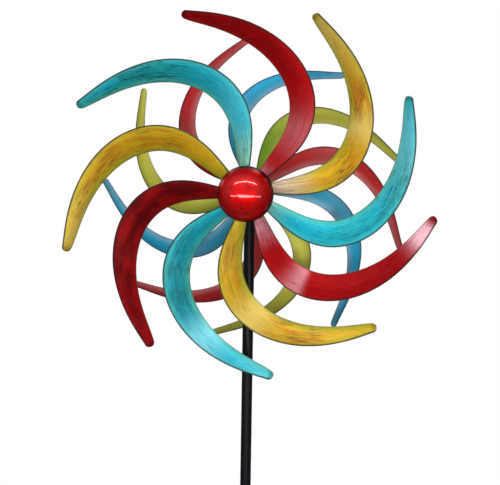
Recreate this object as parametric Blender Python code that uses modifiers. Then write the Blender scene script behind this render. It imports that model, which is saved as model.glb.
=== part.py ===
"""Dual-rotor wind spinner on a garden stake: two sets of nine bent sickle blades that turn opposite ways.

Metres, +Z up. The origin is the middle of the step bar's underside, which rests on the soil. The front faces
-Y. Both rotors turn on one fixed axle, along Y, and each hangs from an empty that sits on that axle. Inside
those empties the local axes are X right, Y up and Z forward, so that local Z is the axle.
"""

import math

import bmesh
import bpy
from mathutils import Matrix, Vector

GAP = 0.0003  # left between pieces that touch

# Pole and stake
AXLE_HEIGHT = 1.42
TUBE_RADIUS = 0.0086
TUBE_WALL = 0.0012
SWAGE_LENGTH = 0.035
SWAGE_RADIUS = TUBE_RADIUS - TUBE_WALL - 0.0004
LOWER_JOINT = 0.45
UPPER_JOINT = 0.90
BAR_LENGTH, BAR_DEPTH, BAR_HEIGHT = 0.150, 0.032, 0.006
PRONG_RADIUS = 0.005
PRONG_DEPTH = 0.18
SPIGOT_RADIUS = 0.007
SPIGOT_HEIGHT = 0.045
FLANGE_RADIUS, FLANGE_HEIGHT = 0.014, 0.004

# Head, which slips over the pole's top and carries the axle
SLEEVE_RADIUS = 0.0112
SLEEVE_BORE = TUBE_RADIUS + 0.00035
SLEEVE_DROP = 0.038
BARREL_RADIUS = 0.0095
BARREL_HALF = 0.015
POLE_TOP = AXLE_HEIGHT - 0.0105

# Screws that pin the pole's joints and the head
PIN_RADIUS = 0.0015
PIN_HEAD_RADIUS, PIN_HEAD_HEIGHT = 0.0034, 0.0022
PIN_LENGTH = 0.0055
PIN_HOLE = PIN_RADIUS + 0.0004

# Axle line, as distances in front of the pole's centre line
AXLE_RADIUS = 0.004
AXLE_BORE = AXLE_RADIUS + 0.0004
AXLE_FRONT, AXLE_BACK = 0.070, -0.076
WASHER_RADIUS, WASHER_THICKNESS = 0.009, 0.0015
SPACER_RADIUS = 0.0065
BUSH_RADIUS, BUSH_FLANGE, BUSH_FLANGE_THICKNESS = 0.0067, 0.009, 0.0015
BUSH_LENGTH = 0.009
HUB_BORE = BUSH_RADIUS + GAP
BOSS_RADIUS = 0.014
BOSS_HALF = 0.011
WEB_HALF = 0.0025  # half the thickness of the hub's disc
NUT_ACROSS_FLATS, NUT_HEIGHT = 0.013, 0.0065

# Hub screws
HUB_SCREWS = 3
HUB_SCREW_CIRCLE = 0.022
HUB_SCREW_RADIUS = 0.002
HUB_SCREW_HEAD, HUB_SCREW_HEAD_HEIGHT = 0.0038, 0.0026
HUB_SCREW_HOLE = HUB_SCREW_RADIUS + 0.0004

# Ball over the front hub
BALL_RADIUS = 0.0437
BALL_CENTRE = 0.072
BALL_WALL = 0.0015
SEAT_RADIUS = 0.0385
SEAT_FRONT, SEAT_THICKNESS = 0.0510, 0.0015
SEAT_COLLAR_OUTER, SEAT_COLLAR_INNER = 0.0360, 0.0345
SEAT_COLLAR_HEIGHT = 0.004

# Blades. Each row is (at the root, at the tip, bow, lean): see bowed(). They are bent and set by hand, so each one
# has its own (degrees turned, hundredths of reach, hundredths of sweep) over or under the pattern.
BLADES = 9
SHEET = 0.0012
CAMBER = 0.06  # depth of the blade's hollow, as a part of its width
BLADE_ROWS, BLADE_COLUMNS = 16, 4
TIP_ROUNDING = 0.035  # the last part of the blade, over which the tip is rounded off
TIP_STUB = 0.3  # width left at the very end, as a part of the width before it is rounded

FRONT_ROTOR = {
    "radius": (0.034, 0.296, 0.176, 0.007),
    "angle": (0.0, 58.4, -34.5, -74.8),
    "forward": (0.0448, 0.0658, -0.022, 0.0),
    "half_width": (0.0081, 0.0073, 0.0556, 0.0287),
    "pitch": (20.0, 40.0, -13.7, 0.0),
    "direction": 1,
    "first_blade": 15.6,
    "hand_set": (
        (-3.5, 0, -1), (-3.5, 0, 0), (2, 1, -4), (7.5, 2, -5), (5.5, -4, -1),
        (4.5, -2, 1), (2.5, -2, -2), (0.5, 0, -1), (-4, -1, 3),
    ),
    "colours": ("yellow", "red", "cyan"),
}
REAR_ROTOR = {
    "radius": (0.030, 0.256, 0.111, 0.036),
    "angle": (0.0, 60.7, -31.8, -55.0),
    "forward": (-0.0542, -0.0938, 0.0407, 0.0),
    "half_width": (0.0065, 0.0054, 0.0310, 0.0307),
    "pitch": (-14.5, -10.2, -3.3, 0.0),
    "direction": -1,
    "first_blade": 197.2,
    "hand_set": (
        (1.5, -3, -2), (-4.5, -1, 1), (-7.5, -8, -6), (-6.5, -5, -2), (-3.5, 2, -9),
        (1.5, 3, -4), (0.5, -1, 5), (-2, 3, -6), (-1, 0, -3),
    ),
    "colours": ("olive", "dull_red", "blue"),
}

# Name: colour, metallic, roughness
FINISHES = {
    "black_paint": ((0.012, 0.011, 0.018), 0.3, 0.42),
    "zinc": ((0.62, 0.62, 0.60), 1.0, 0.38),
    "bronze": ((0.55, 0.38, 0.18), 1.0, 0.45),
    "cast_alloy": ((0.40, 0.40, 0.42), 1.0, 0.5),
    "ball_red": ((0.55, 0.004, 0.012), 0.6, 0.15),
    "red": ((0.42, 0.008, 0.014), 0.6, 0.32),
    "cyan": ((0.0, 0.40, 0.55), 0.6, 0.35),
    "yellow": ((0.62, 0.42, 0.03), 0.6, 0.35),
    "dull_red": ((0.32, 0.03, 0.03), 0.6, 0.4),
    "blue": ((0.06, 0.25, 0.42), 0.6, 0.4),
    "olive": ((0.32, 0.36, 0.03), 0.6, 0.4),
}

FORWARD = Matrix.Rotation(math.pi / 2, 4, "X")  # turns local Z to the front, -Y


def clear_scene():
    for obj in list(bpy.data.objects):
        bpy.data.objects.remove(obj, do_unlink=True)


def new_collection(name):
    collection = bpy.data.collections.new(name)
    bpy.context.scene.collection.children.link(collection)
    return collection


def make_finishes():
    made = {}
    for name, (colour, metallic, roughness) in FINISHES.items():
        material = bpy.data.materials.new(name)
        material.use_nodes = True
        shader = material.node_tree.nodes["Principled BSDF"]
        shader.inputs["Base Color"].default_value = (*colour, 1.0)
        shader.inputs["Metallic"].default_value = metallic
        shader.inputs["Roughness"].default_value = roughness
        made[name] = material
    return made


class Workshop:
    """Holds the collections and finishes, and makes each named piece."""

    def __init__(self):
        self.parts = new_collection("wind_spinner")
        self.cutters = new_collection("cutters")
        self.cutters.hide_render = True
        self.finishes = make_finishes()

    def empty(self, name, matrix):
        holder = bpy.data.objects.new(name, None)
        holder.matrix_world = matrix
        self.parts.objects.link(holder)
        return holder

    def piece(self, name, mesh, finish, matrix, parent=None, smooth=True):
        """A named piece. Its matrix is local to the parent."""
        for polygon in mesh.polygons:
            polygon.use_smooth = smooth
        mesh.materials.append(self.finishes[finish])
        obj = bpy.data.objects.new(name, mesh)
        obj.parent = parent
        obj.matrix_basis = matrix
        self.parts.objects.link(obj)
        return obj

    def turned(self, name, profile, finish, matrix, parent=None, steps=32, closed=True):
        """A piece turned about local Z from (radius, height) points that run down its outer side.

        A closed profile goes round a bore. An open one starts and ends on the axis.
        """
        mesh = bpy.data.meshes.new(name)
        points = [(radius, 0.0, height) for radius, height in profile]
        edges = [(i, i + 1) for i in range(len(points) - 1)]
        if closed:
            edges.append((len(points) - 1, 0))
        mesh.from_pydata(points, edges, [])
        obj = self.piece(name, mesh, finish, matrix, parent)
        screw = obj.modifiers.new("Turn", "SCREW")
        screw.axis = "Z"
        screw.steps = screw.render_steps = steps
        screw.use_merge_vertices = True
        screw.merge_threshold = 0.00005
        screw.use_smooth_shade = True
        return obj

    def cut(self, obj, cutter):
        """Cuts the piece with a cutter, both in the same parent."""
        boolean = obj.modifiers.new("Cut", "BOOLEAN")
        boolean.operation = "DIFFERENCE"
        boolean.solver = "EXACT"
        boolean.object = cutter

    def rod_cutter(self, name, radius, length, matrix, parent=None, sides=24):
        """A round cutter centred on its matrix, along local Z."""
        mesh = bpy.data.meshes.new(name)
        shape = bmesh.new()
        bmesh.ops.create_cone(
            shape, cap_ends=True, segments=sides, radius1=radius, radius2=radius, depth=length
        )
        shape.to_mesh(mesh)
        shape.free()
        cutter = bpy.data.objects.new(name, mesh)
        cutter.parent = parent
        cutter.matrix_basis = matrix
        cutter.display_type = "WIRE"
        cutter.hide_render = True
        self.cutters.objects.link(cutter)
        return cutter


def up_to(height):
    return Matrix.Translation((0.0, 0.0, height))


def ring(outer, inner, low, high):
    """The closed profile of a plain ring or tube, down its outer side."""
    return [(outer, high), (outer, low), (inner, low), (inner, high)]


def bowed(row, t):
    """Goes from the first value to the second as t goes from 0 to 1, bowed by the third.

    The fourth leans the bow towards one end.
    """
    start, end, bow, lean = row
    return start + (end - start) * t + t * (1 - t) * (bow + lean * (1 - 2 * t))


def blade_centre(rotor, bend, t):
    """A point on the blade's centre line, in the rotor's local axes. Bend is the blade's own row of hand_set."""
    _, reach, sweep = bend
    root = rotor["radius"][0]
    radius = root + (bowed(rotor["radius"], t) - root) * (1 + reach / 100)
    angle = math.radians(bowed(rotor["angle"], t)) * (1 + sweep / 100) * rotor["direction"]
    return Vector((radius * math.cos(angle), radius * math.sin(angle), bowed(rotor["forward"], t)))


def blade_half_width(rotor, t):
    width = bowed(rotor["half_width"], t)
    past = min(1.0, max(0.0, (t - (1 - TIP_ROUNDING)) / TIP_ROUNDING))
    return width * (TIP_STUB + (1 - TIP_STUB) * math.sqrt(1 - past * past))


def blade_point(rotor, bend, t, across):
    """A point of the blade's sheet: across runs from -1 on the hollow edge to 1 on the outer edge."""
    step = 0.001
    ahead = blade_centre(rotor, bend, t + step) - blade_centre(rotor, bend, t - step)
    run = Vector((ahead.x, ahead.y, 0.0)).normalized()
    outward = Vector((run.y, -run.x, 0.0)) * rotor["direction"]
    pitch = math.radians(bowed(rotor["pitch"], t))
    width_way = outward * math.cos(pitch) + Vector((0.0, 0.0, math.sin(pitch)))
    face_way = Vector((0.0, 0.0, math.cos(pitch))) - outward * math.sin(pitch)
    half = blade_half_width(rotor, t)
    crown = CAMBER * 2 * half * (1 - across * across)
    return blade_centre(rotor, bend, t) + width_way * half * across + face_way * crown


def blade_rows():
    """The places along the blade of its rows, closer together where the tip is rounded."""
    body = [(1 - TIP_ROUNDING) * i / (BLADE_ROWS - 3) for i in range(BLADE_ROWS - 2)]
    rounding = [1 - TIP_ROUNDING * (1 - math.sin(math.radians(a))) for a in (40, 67, 90)]
    return body + rounding


def blade_mesh(name, rotor, bend):
    """The blade as one open sheet: a flat grid whose points are moved onto the blade's surface."""
    rows = blade_rows()
    shape = bmesh.new()
    bmesh.ops.create_grid(shape, x_segments=len(rows) - 1, y_segments=BLADE_COLUMNS, size=1.0)
    for vertex in shape.verts:
        row = round((vertex.co.x + 1) / 2 * (len(rows) - 1))
        vertex.co = blade_point(rotor, bend, rows[row], vertex.co.y)
    mesh = bpy.data.meshes.new(name)
    shape.to_mesh(mesh)
    shape.free()
    return mesh


def add_blades(shop, prefix, rotor, holder):
    for number in range(BLADES):
        name = f"{prefix}_blade_{number + 1}"
        bend = rotor["hand_set"][number]
        turn = rotor["first_blade"] + rotor["direction"] * number * 360 / BLADES + bend[0]
        finish = rotor["colours"][number % len(rotor["colours"])]
        matrix = Matrix.Rotation(math.radians(turn), 4, "Z")
        blade = shop.piece(name, blade_mesh(name, rotor, bend), finish, matrix, holder)
        sheet = blade.modifiers.new("Sheet", "SOLIDIFY")
        sheet.thickness = SHEET
        sheet.offset = 0.0
        sheet.use_even_offset = True


def pin_screw(shop, name, height, surface, target_names):
    """A pan-head screw at the back of the pole, and its hole through each named piece."""
    matrix = Matrix.Translation((0.0, surface + GAP, height)) @ Matrix.Rotation(-math.pi / 2, 4, "X")
    profile = [
        (0.0, PIN_HEAD_HEIGHT),
        (PIN_HEAD_RADIUS * 0.6, PIN_HEAD_HEIGHT * 0.92),
        (PIN_HEAD_RADIUS, PIN_HEAD_HEIGHT * 0.5),
        (PIN_HEAD_RADIUS, 0.0),
        (PIN_RADIUS, 0.0),
        (PIN_RADIUS, -PIN_LENGTH),
        (0.0, -PIN_LENGTH - PIN_RADIUS),
    ]
    shop.turned(name, profile, "zinc", matrix, steps=16, closed=False)
    cutter = shop.rod_cutter(f"{name}_hole", PIN_HOLE, 4 * PIN_LENGTH, matrix, sides=16)
    for target in target_names:
        shop.cut(bpy.data.objects[target], cutter)


def tube_profile(bottom, top, swaged):
    """The profile of a pole section. A swaged one is reduced above its shoulder, to enter the next."""
    inner = TUBE_RADIUS - TUBE_WALL
    if not swaged:
        return ring(TUBE_RADIUS, inner, bottom, top)
    cone = 0.003
    return [
        (SWAGE_RADIUS, top + SWAGE_LENGTH),
        (SWAGE_RADIUS, top + GAP),
        (TUBE_RADIUS, top - cone),
        (TUBE_RADIUS, bottom),
        (inner, bottom),
        (inner, top - cone - TUBE_WALL),
        (SWAGE_RADIUS - TUBE_WALL, top),
        (SWAGE_RADIUS - TUBE_WALL, top + SWAGE_LENGTH),
    ]


def add_stake(shop):
    """The step bar, its two prongs and the spigot that the pole stands on."""
    mesh = bpy.data.meshes.new("step_bar")
    shape = bmesh.new()
    bmesh.ops.create_cube(shape, size=1.0)
    bmesh.ops.scale(shape, verts=shape.verts, vec=(BAR_LENGTH, BAR_DEPTH, BAR_HEIGHT))
    shape.to_mesh(mesh)
    shape.free()
    bar = shop.piece("step_bar", mesh, "black_paint", up_to(BAR_HEIGHT / 2), smooth=False)
    bevel = bar.modifiers.new("Edges", "BEVEL")
    bevel.width = 0.001
    bevel.segments = 2

    for side, name in ((-1, "prong_left"), (1, "prong_right")):
        top = BAR_HEIGHT + 0.004
        profile = [
            (0.0, top),
            (PRONG_RADIUS - 0.001, top),
            (PRONG_RADIUS, top - 0.001),
            (PRONG_RADIUS, -PRONG_DEPTH + 0.03),
            (0.0008, -PRONG_DEPTH),
            (0.0, -PRONG_DEPTH),
        ]
        across = side * (BAR_LENGTH / 2 + GAP + PRONG_RADIUS)
        matrix = Matrix.Translation((across, 0.0, 0.0))
        shop.turned(name, profile, "black_paint", matrix, steps=24, closed=False)

    base = BAR_HEIGHT + GAP
    spigot = [
        (0.0, base + SPIGOT_HEIGHT),
        (SPIGOT_RADIUS - 0.0015, base + SPIGOT_HEIGHT),
        (SPIGOT_RADIUS, base + SPIGOT_HEIGHT - 0.0015),
        (SPIGOT_RADIUS, base + FLANGE_HEIGHT),
        (FLANGE_RADIUS, base + FLANGE_HEIGHT),
        (FLANGE_RADIUS, base),
        (0.0, base),
    ]
    shop.turned("stake_spigot", spigot, "black_paint", Matrix.Identity(4), closed=False)


def add_pole(shop):
    """The pole's three sections, each swaged into the next, and the screws that pin them."""
    bottom = BAR_HEIGHT + FLANGE_HEIGHT + 2 * GAP
    sections = (
        ("lower_pole", bottom, LOWER_JOINT, True),
        ("middle_pole", LOWER_JOINT + GAP, UPPER_JOINT, True),
        ("upper_pole", UPPER_JOINT + GAP, POLE_TOP, False),
    )
    for name, low, high, swaged in sections:
        shop.turned(name, tube_profile(low, high, swaged), "black_paint", Matrix.Identity(4))
    middle = SWAGE_LENGTH / 2
    pin_screw(shop, "stake_screw", bottom + middle, TUBE_RADIUS, ("stake_spigot", "lower_pole"))
    pin_screw(shop, "lower_joint_screw", LOWER_JOINT + middle, TUBE_RADIUS, ("lower_pole", "middle_pole"))
    pin_screw(shop, "upper_joint_screw", UPPER_JOINT + middle, TUBE_RADIUS, ("middle_pole", "upper_pole"))


def add_head(shop):
    """The cast tee: a sleeve over the pole's top with a barrel across it for the axle."""
    mesh = bpy.data.meshes.new("head_tee")
    shape = bmesh.new()
    height = SLEEVE_DROP + BARREL_RADIUS * 0.4
    bmesh.ops.create_cone(
        shape, cap_ends=True, segments=32, radius1=SLEEVE_RADIUS, radius2=SLEEVE_RADIUS, depth=height,
        matrix=up_to(height / 2 - SLEEVE_DROP),
    )
    shape.to_mesh(mesh)
    shape.free()
    tee = shop.piece("head_tee", mesh, "black_paint", up_to(AXLE_HEIGHT))
    on_axle = up_to(AXLE_HEIGHT) @ FORWARD
    barrel = shop.rod_cutter("head_barrel", BARREL_RADIUS, 2 * BARREL_HALF, on_axle, sides=32)
    join = tee.modifiers.new("Barrel", "BOOLEAN")
    join.operation = "UNION"
    join.solver = "EXACT"
    join.object = barrel
    socket_top = POLE_TOP + GAP
    socket = up_to(socket_top - SLEEVE_DROP)
    shop.cut(tee, shop.rod_cutter("head_socket", SLEEVE_BORE, 2 * SLEEVE_DROP, socket, sides=32))
    shop.cut(tee, shop.rod_cutter("head_bore", AXLE_BORE, 4 * BARREL_HALF, on_axle))
    pin_height = AXLE_HEIGHT - SLEEVE_DROP * 0.7
    pin_screw(shop, "head_screw", pin_height, SLEEVE_RADIUS, ("head_tee", "upper_pole"))


def add_axle(shop, line):
    """The fixed axle, and the washers, spacers and nuts on it."""
    chamfer = 0.0008
    rod = [
        (0.0, AXLE_FRONT),
        (AXLE_RADIUS - chamfer, AXLE_FRONT),
        (AXLE_RADIUS, AXLE_FRONT - chamfer),
        (AXLE_RADIUS, AXLE_BACK + chamfer),
        (AXLE_RADIUS - chamfer, AXLE_BACK),
        (0.0, AXLE_BACK),
    ]
    shop.turned("axle", rod, "zinc", Matrix.Identity(4), line, closed=False)
    for side, prefix, plane in (
        (1, "front", FRONT_ROTOR["forward"][0]),
        (-1, "rear", REAR_ROTOR["forward"][0]),
    ):
        facing = Matrix.Identity(4) if side > 0 else Matrix.Rotation(math.pi, 4, "X")
        inner = BARREL_HALF + GAP
        washer = ring(WASHER_RADIUS, AXLE_BORE, inner, inner + WASHER_THICKNESS)
        shop.turned(f"{prefix}_inner_washer", washer, "zinc", facing, line)
        start = inner + WASHER_THICKNESS + GAP
        hub_reach = abs(plane) - BOSS_HALF - GAP - BUSH_FLANGE_THICKNESS - GAP
        spacer = ring(SPACER_RADIUS, AXLE_BORE, start, hub_reach)
        shop.turned(f"{prefix}_spacer", spacer, "zinc", facing, line)
        outer = abs(plane) + BOSS_HALF + GAP + BUSH_FLANGE_THICKNESS + GAP
        thrust = ring(WASHER_RADIUS, AXLE_BORE, outer, outer + WASHER_THICKNESS)
        shop.turned(f"{prefix}_thrust_washer", thrust, "zinc", facing, line)
        seat = outer + WASHER_THICKNESS + GAP
        if side > 0:
            add_lock_nut(shop, f"{prefix}_lock_nut", seat, facing, line)
        else:
            add_cap_nut(shop, f"{prefix}_cap_nut", seat, facing, line)


def hexagon(shape, low, high):
    bmesh.ops.create_cone(
        shape, cap_ends=True, segments=6, radius1=NUT_ACROSS_FLATS / math.sqrt(3),
        radius2=NUT_ACROSS_FLATS / math.sqrt(3), depth=high - low, matrix=up_to((low + high) / 2),
    )


def add_lock_nut(shop, name, seat, facing, line):
    mesh = bpy.data.meshes.new(name)
    shape = bmesh.new()
    hexagon(shape, seat, seat + NUT_HEIGHT)
    shape.to_mesh(mesh)
    shape.free()
    nut = shop.piece(name, mesh, "zinc", facing, line, smooth=False)
    bore = facing @ up_to(seat)
    shop.cut(nut, shop.rod_cutter(f"{name}_bore", AXLE_BORE, 4 * NUT_HEIGHT, bore, line))


def add_cap_nut(shop, name, seat, facing, line):
    """A domed nut: a hexagon joined to a dome, bored from its open side."""
    mesh = bpy.data.meshes.new(name)
    shape = bmesh.new()
    hexagon(shape, seat, seat + NUT_HEIGHT)
    shape.to_mesh(mesh)
    shape.free()
    nut = shop.piece(name, mesh, "zinc", facing, line, smooth=False)
    dome = bpy.data.meshes.new(f"{name}_dome")
    shape = bmesh.new()
    bmesh.ops.create_uvsphere(
        shape, u_segments=24, v_segments=12, radius=NUT_ACROSS_FLATS * 0.46, matrix=up_to(seat + NUT_HEIGHT)
    )
    shape.to_mesh(dome)
    shape.free()
    tool = bpy.data.objects.new(f"{name}_dome", dome)
    tool.parent = line
    tool.matrix_basis = facing
    tool.display_type = "WIRE"
    tool.hide_render = True
    shop.cutters.objects.link(tool)
    join = nut.modifiers.new("Dome", "BOOLEAN")
    join.operation = "UNION"
    join.solver = "EXACT"
    join.object = tool
    deep = abs(AXLE_BACK) + 0.0005 - seat
    bore = facing @ up_to(seat)
    shop.cut(nut, shop.rod_cutter(f"{name}_bore", AXLE_BORE, 2 * deep, bore, line))


def hub_profile(plane, disc_radius):
    """A boss with a disc around its middle, whose rim carries the blades."""
    low, high = plane - BOSS_HALF, plane + BOSS_HALF
    return [
        (BOSS_RADIUS, high),
        (BOSS_RADIUS, plane + WEB_HALF),
        (disc_radius, plane + WEB_HALF),
        (disc_radius, plane - WEB_HALF),
        (BOSS_RADIUS, plane - WEB_HALF),
        (BOSS_RADIUS, low),
        (HUB_BORE, low),
        (HUB_BORE, high),
    ]


def add_hub(shop, prefix, rotor, holder):
    """The hub and the two flanged bushes pressed into it. The bushes run on the axle."""
    plane = rotor["forward"][0]
    disc_radius = rotor["radius"][0] - 0.0005
    shop.turned(f"{prefix}_hub", hub_profile(plane, disc_radius), "cast_alloy", Matrix.Identity(4), holder)
    for side, name in ((1, f"{prefix}_bush_outer"), (-1, f"{prefix}_bush_inner")):
        way = side * rotor["direction"]
        facing = up_to(plane) @ (Matrix.Identity(4) if way > 0 else Matrix.Rotation(math.pi, 4, "X"))
        face = BOSS_HALF + GAP
        bush = [
            (BUSH_FLANGE, face + BUSH_FLANGE_THICKNESS),
            (BUSH_FLANGE, face),
            (BUSH_RADIUS, face),
            (BUSH_RADIUS, face - BUSH_LENGTH),
            (AXLE_BORE, face - BUSH_LENGTH),
            (AXLE_BORE, face + BUSH_FLANGE_THICKNESS),
        ]
        shop.turned(name, bush, "bronze", facing, holder)


def add_hub_screws(shop, prefix, seat, length, facing, targets, holder):
    """Pan-head screws on a circle, with a hole for each through the named pieces."""
    for number in range(HUB_SCREWS):
        around = Matrix.Rotation(2 * math.pi * (number + 0.5) / HUB_SCREWS, 4, "Z")
        place = facing @ around @ Matrix.Translation((HUB_SCREW_CIRCLE, 0.0, seat + GAP))
        profile = [
            (0.0, HUB_SCREW_HEAD_HEIGHT),
            (HUB_SCREW_HEAD * 0.7, HUB_SCREW_HEAD_HEIGHT * 0.9),
            (HUB_SCREW_HEAD, HUB_SCREW_HEAD_HEIGHT * 0.45),
            (HUB_SCREW_HEAD, 0.0),
            (HUB_SCREW_RADIUS, 0.0),
            (HUB_SCREW_RADIUS, -length),
            (0.0, -length),
        ]
        name = f"{prefix}_screw_{number + 1}"
        shop.turned(name, profile, "zinc", place, holder, steps=16, closed=False)
        cutter = shop.rod_cutter(f"{name}_hole", HUB_SCREW_HOLE, 4 * length, place, holder, sides=16)
        for target in targets:
            shop.cut(bpy.data.objects[target], cutter)


def add_ball(shop, holder):
    """The hollow ball over the front hub, open at its back, and the seat that holds it."""
    seat_back = SEAT_FRONT - SEAT_THICKNESS
    seat = [
        (SEAT_COLLAR_OUTER, SEAT_FRONT + SEAT_COLLAR_HEIGHT),
        (SEAT_COLLAR_OUTER, SEAT_FRONT),
        (SEAT_RADIUS, SEAT_FRONT),
        (SEAT_RADIUS, seat_back),
        (BOSS_RADIUS + GAP, seat_back),
        (BOSS_RADIUS + GAP, SEAT_FRONT),
        (SEAT_COLLAR_INNER, SEAT_FRONT),
        (SEAT_COLLAR_INNER, SEAT_FRONT + SEAT_COLLAR_HEIGHT),
    ]
    shop.turned("ball_seat", seat, "black_paint", Matrix.Identity(4), holder, steps=48)
    mouth = math.acos((BALL_CENTRE - SEAT_FRONT - GAP) / BALL_RADIUS)
    turns = 18
    angles = [(math.pi - mouth) * i / turns for i in range(turns + 1)]
    outer = [(BALL_RADIUS * math.sin(a), BALL_CENTRE + BALL_RADIUS * math.cos(a)) for a in angles]
    inside = BALL_RADIUS - BALL_WALL
    inner = [(inside * math.sin(a), BALL_CENTRE + inside * math.cos(a)) for a in reversed(angles)]
    shop.turned("ball", outer + inner, "ball_red", Matrix.Identity(4), holder, steps=40, closed=False)
    length = SEAT_FRONT - FRONT_ROTOR["forward"][0] + WEB_HALF
    targets = ("ball_seat", "front_hub")
    add_hub_screws(shop, "ball_seat", SEAT_FRONT, length, Matrix.Identity(4), targets, holder)


def add_rear_cover(shop, holder):
    """The plate that closes the rear hub's back, held by its screws."""
    plane = REAR_ROTOR["forward"][0]
    facing = Matrix.Rotation(math.pi, 4, "X")
    low = abs(plane) + WEB_HALF + GAP
    high = low + 0.0015
    plate = ring(REAR_ROTOR["radius"][0] - 0.0025, BOSS_RADIUS + GAP, low, high)
    shop.turned("rear_cover_plate", plate, "black_paint", facing, holder, steps=48)
    length = high - low + 2 * WEB_HALF
    add_hub_screws(shop, "rear_cover", high, length, facing, ("rear_cover_plate", "rear_hub"), holder)


def main():
    clear_scene()
    shop = Workshop()
    on_axle = up_to(AXLE_HEIGHT) @ FORWARD
    add_stake(shop)
    add_pole(shop)
    add_head(shop)
    add_axle(shop, shop.empty("axle_line", on_axle))

    front = shop.empty("front_rotor", on_axle)
    add_hub(shop, "front", FRONT_ROTOR, front)
    add_ball(shop, front)
    add_blades(shop, "front", FRONT_ROTOR, front)

    rear = shop.empty("rear_rotor", on_axle)
    add_hub(shop, "rear", REAR_ROTOR, rear)
    add_rear_cover(shop, rear)
    add_blades(shop, "rear", REAR_ROTOR, rear)


main()
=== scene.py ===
"""Fine surface, finishes, light and camera of a dual-rotor wind spinner on a garden stake.

Metres, +Z up, front towards -Y. Each rotor's pieces are shaped in axes where X is right, Y is up and Z is
forward along the axle, and are then turned onto the axle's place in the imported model.
"""

import logging
import math
from dataclasses import dataclass, field, replace
from enum import Enum
from typing import Iterable, Sequence, Union

import bmesh
import bpy
from mathutils import Matrix, Vector, noise


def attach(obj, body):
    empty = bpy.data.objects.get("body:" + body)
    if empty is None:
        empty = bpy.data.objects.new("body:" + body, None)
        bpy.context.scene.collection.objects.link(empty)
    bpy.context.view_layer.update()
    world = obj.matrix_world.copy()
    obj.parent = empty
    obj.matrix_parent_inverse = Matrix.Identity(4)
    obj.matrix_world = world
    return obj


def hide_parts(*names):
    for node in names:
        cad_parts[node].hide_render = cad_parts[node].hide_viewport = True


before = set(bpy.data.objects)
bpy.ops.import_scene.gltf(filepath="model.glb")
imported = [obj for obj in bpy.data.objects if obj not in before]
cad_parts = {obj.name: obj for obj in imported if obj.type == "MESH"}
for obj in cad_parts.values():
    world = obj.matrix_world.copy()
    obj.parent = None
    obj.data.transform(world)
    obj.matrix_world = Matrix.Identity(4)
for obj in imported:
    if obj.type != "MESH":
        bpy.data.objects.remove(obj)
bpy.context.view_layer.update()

LOG = logging.getLogger("wind_spinner")

Colour = tuple[float, float, float]
Profile = Sequence[tuple[float, float]]
Shape = bmesh.types.BMesh

GAP = 0.0003  # left between pieces that touch
MERGED = 1e-6  # points closer together than this are one
AXLE_HEIGHT = 1.42
FRONT_PLANE, REAR_PLANE = 0.0448, -0.0542  # the hubs' middles, before and behind the pole
AXLE_BORE = 0.0044
BARREL_HALF, BOSS_HALF = 0.015, 0.011  # half the lengths along the axle of the head's barrel and of a hub
BUSH_FLANGE = 0.0015
SLEEVE_RADIUS, SLEEVE_DROP = 0.0112, 0.038
HEAD_SCREW_DROP = SLEEVE_DROP * 0.7
POLE_RADIUS = 0.0086
PIN_HOLE, PIN_HOLE_DEPTH = 0.0019, 0.022  # radius and depth of a hole round one of the pole's screws

ALONG_AXLE = Matrix.Rotation(math.pi / 2, 4, "X")
OUT_OF_BACK = Matrix.Rotation(-math.pi / 2, 4, "X")
ON_AXLE = Matrix.Translation((0.0, 0.0, AXLE_HEIGHT)) @ ALONG_AXLE
BACK_FACING = Matrix.Rotation(math.pi, 4, "X")


def tint(red: float, green: float, blue: float) -> Colour:
    """Turns a colour as seen on a screen, 0 to 1, into the linear one that shaders take."""
    return tuple(c / 12.92 if c <= 0.04045 else ((c + 0.055) / 1.055) ** 2.4 for c in (red, green, blue))


def up_to(height: float) -> Matrix:
    """A move along Z."""
    return Matrix.Translation((0.0, 0.0, height))


def facing(way: float) -> Matrix:
    """Leaves Z forward where the way is above 0, and turns it to the back where it isn't."""
    return Matrix.Identity(4) if way > 0 else BACK_FACING


def arc(
    radius: float, height: float, degrees: Iterable[float], rise: float | None = None, inset: float = 0.0
) -> list[tuple[float, float]]:
    """Points of an arc in a turned profile.

    Args:
        radius: the arc's radius.
        height: its centre's height.
        degrees: the points' angles down from its top.
        rise: its radius upwards, where that differs.
        inset: its centre's distance from the axis.

    Returns:
        The points.
    """
    rise = radius if rise is None else rise
    turns = [math.radians(angle) for angle in degrees]
    return [(inset + radius * math.sin(turn), height + rise * math.cos(turn)) for turn in turns]


def settled(name: str, shape: Shape) -> bpy.types.Object:
    """Turns a shape into an object of the scene, and uses the shape up.

    Args:
        name: the object's name, and its mesh's.
        shape: the shape, which is used up.

    Returns:
        The object.
    """
    mesh = bpy.data.meshes.new(name)
    shape.to_mesh(mesh)
    shape.free()
    obj = bpy.data.objects.new(name, mesh)
    bpy.context.scene.collection.objects.link(obj)
    return obj


# ---------------------------------------------------------------- shader maths


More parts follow.
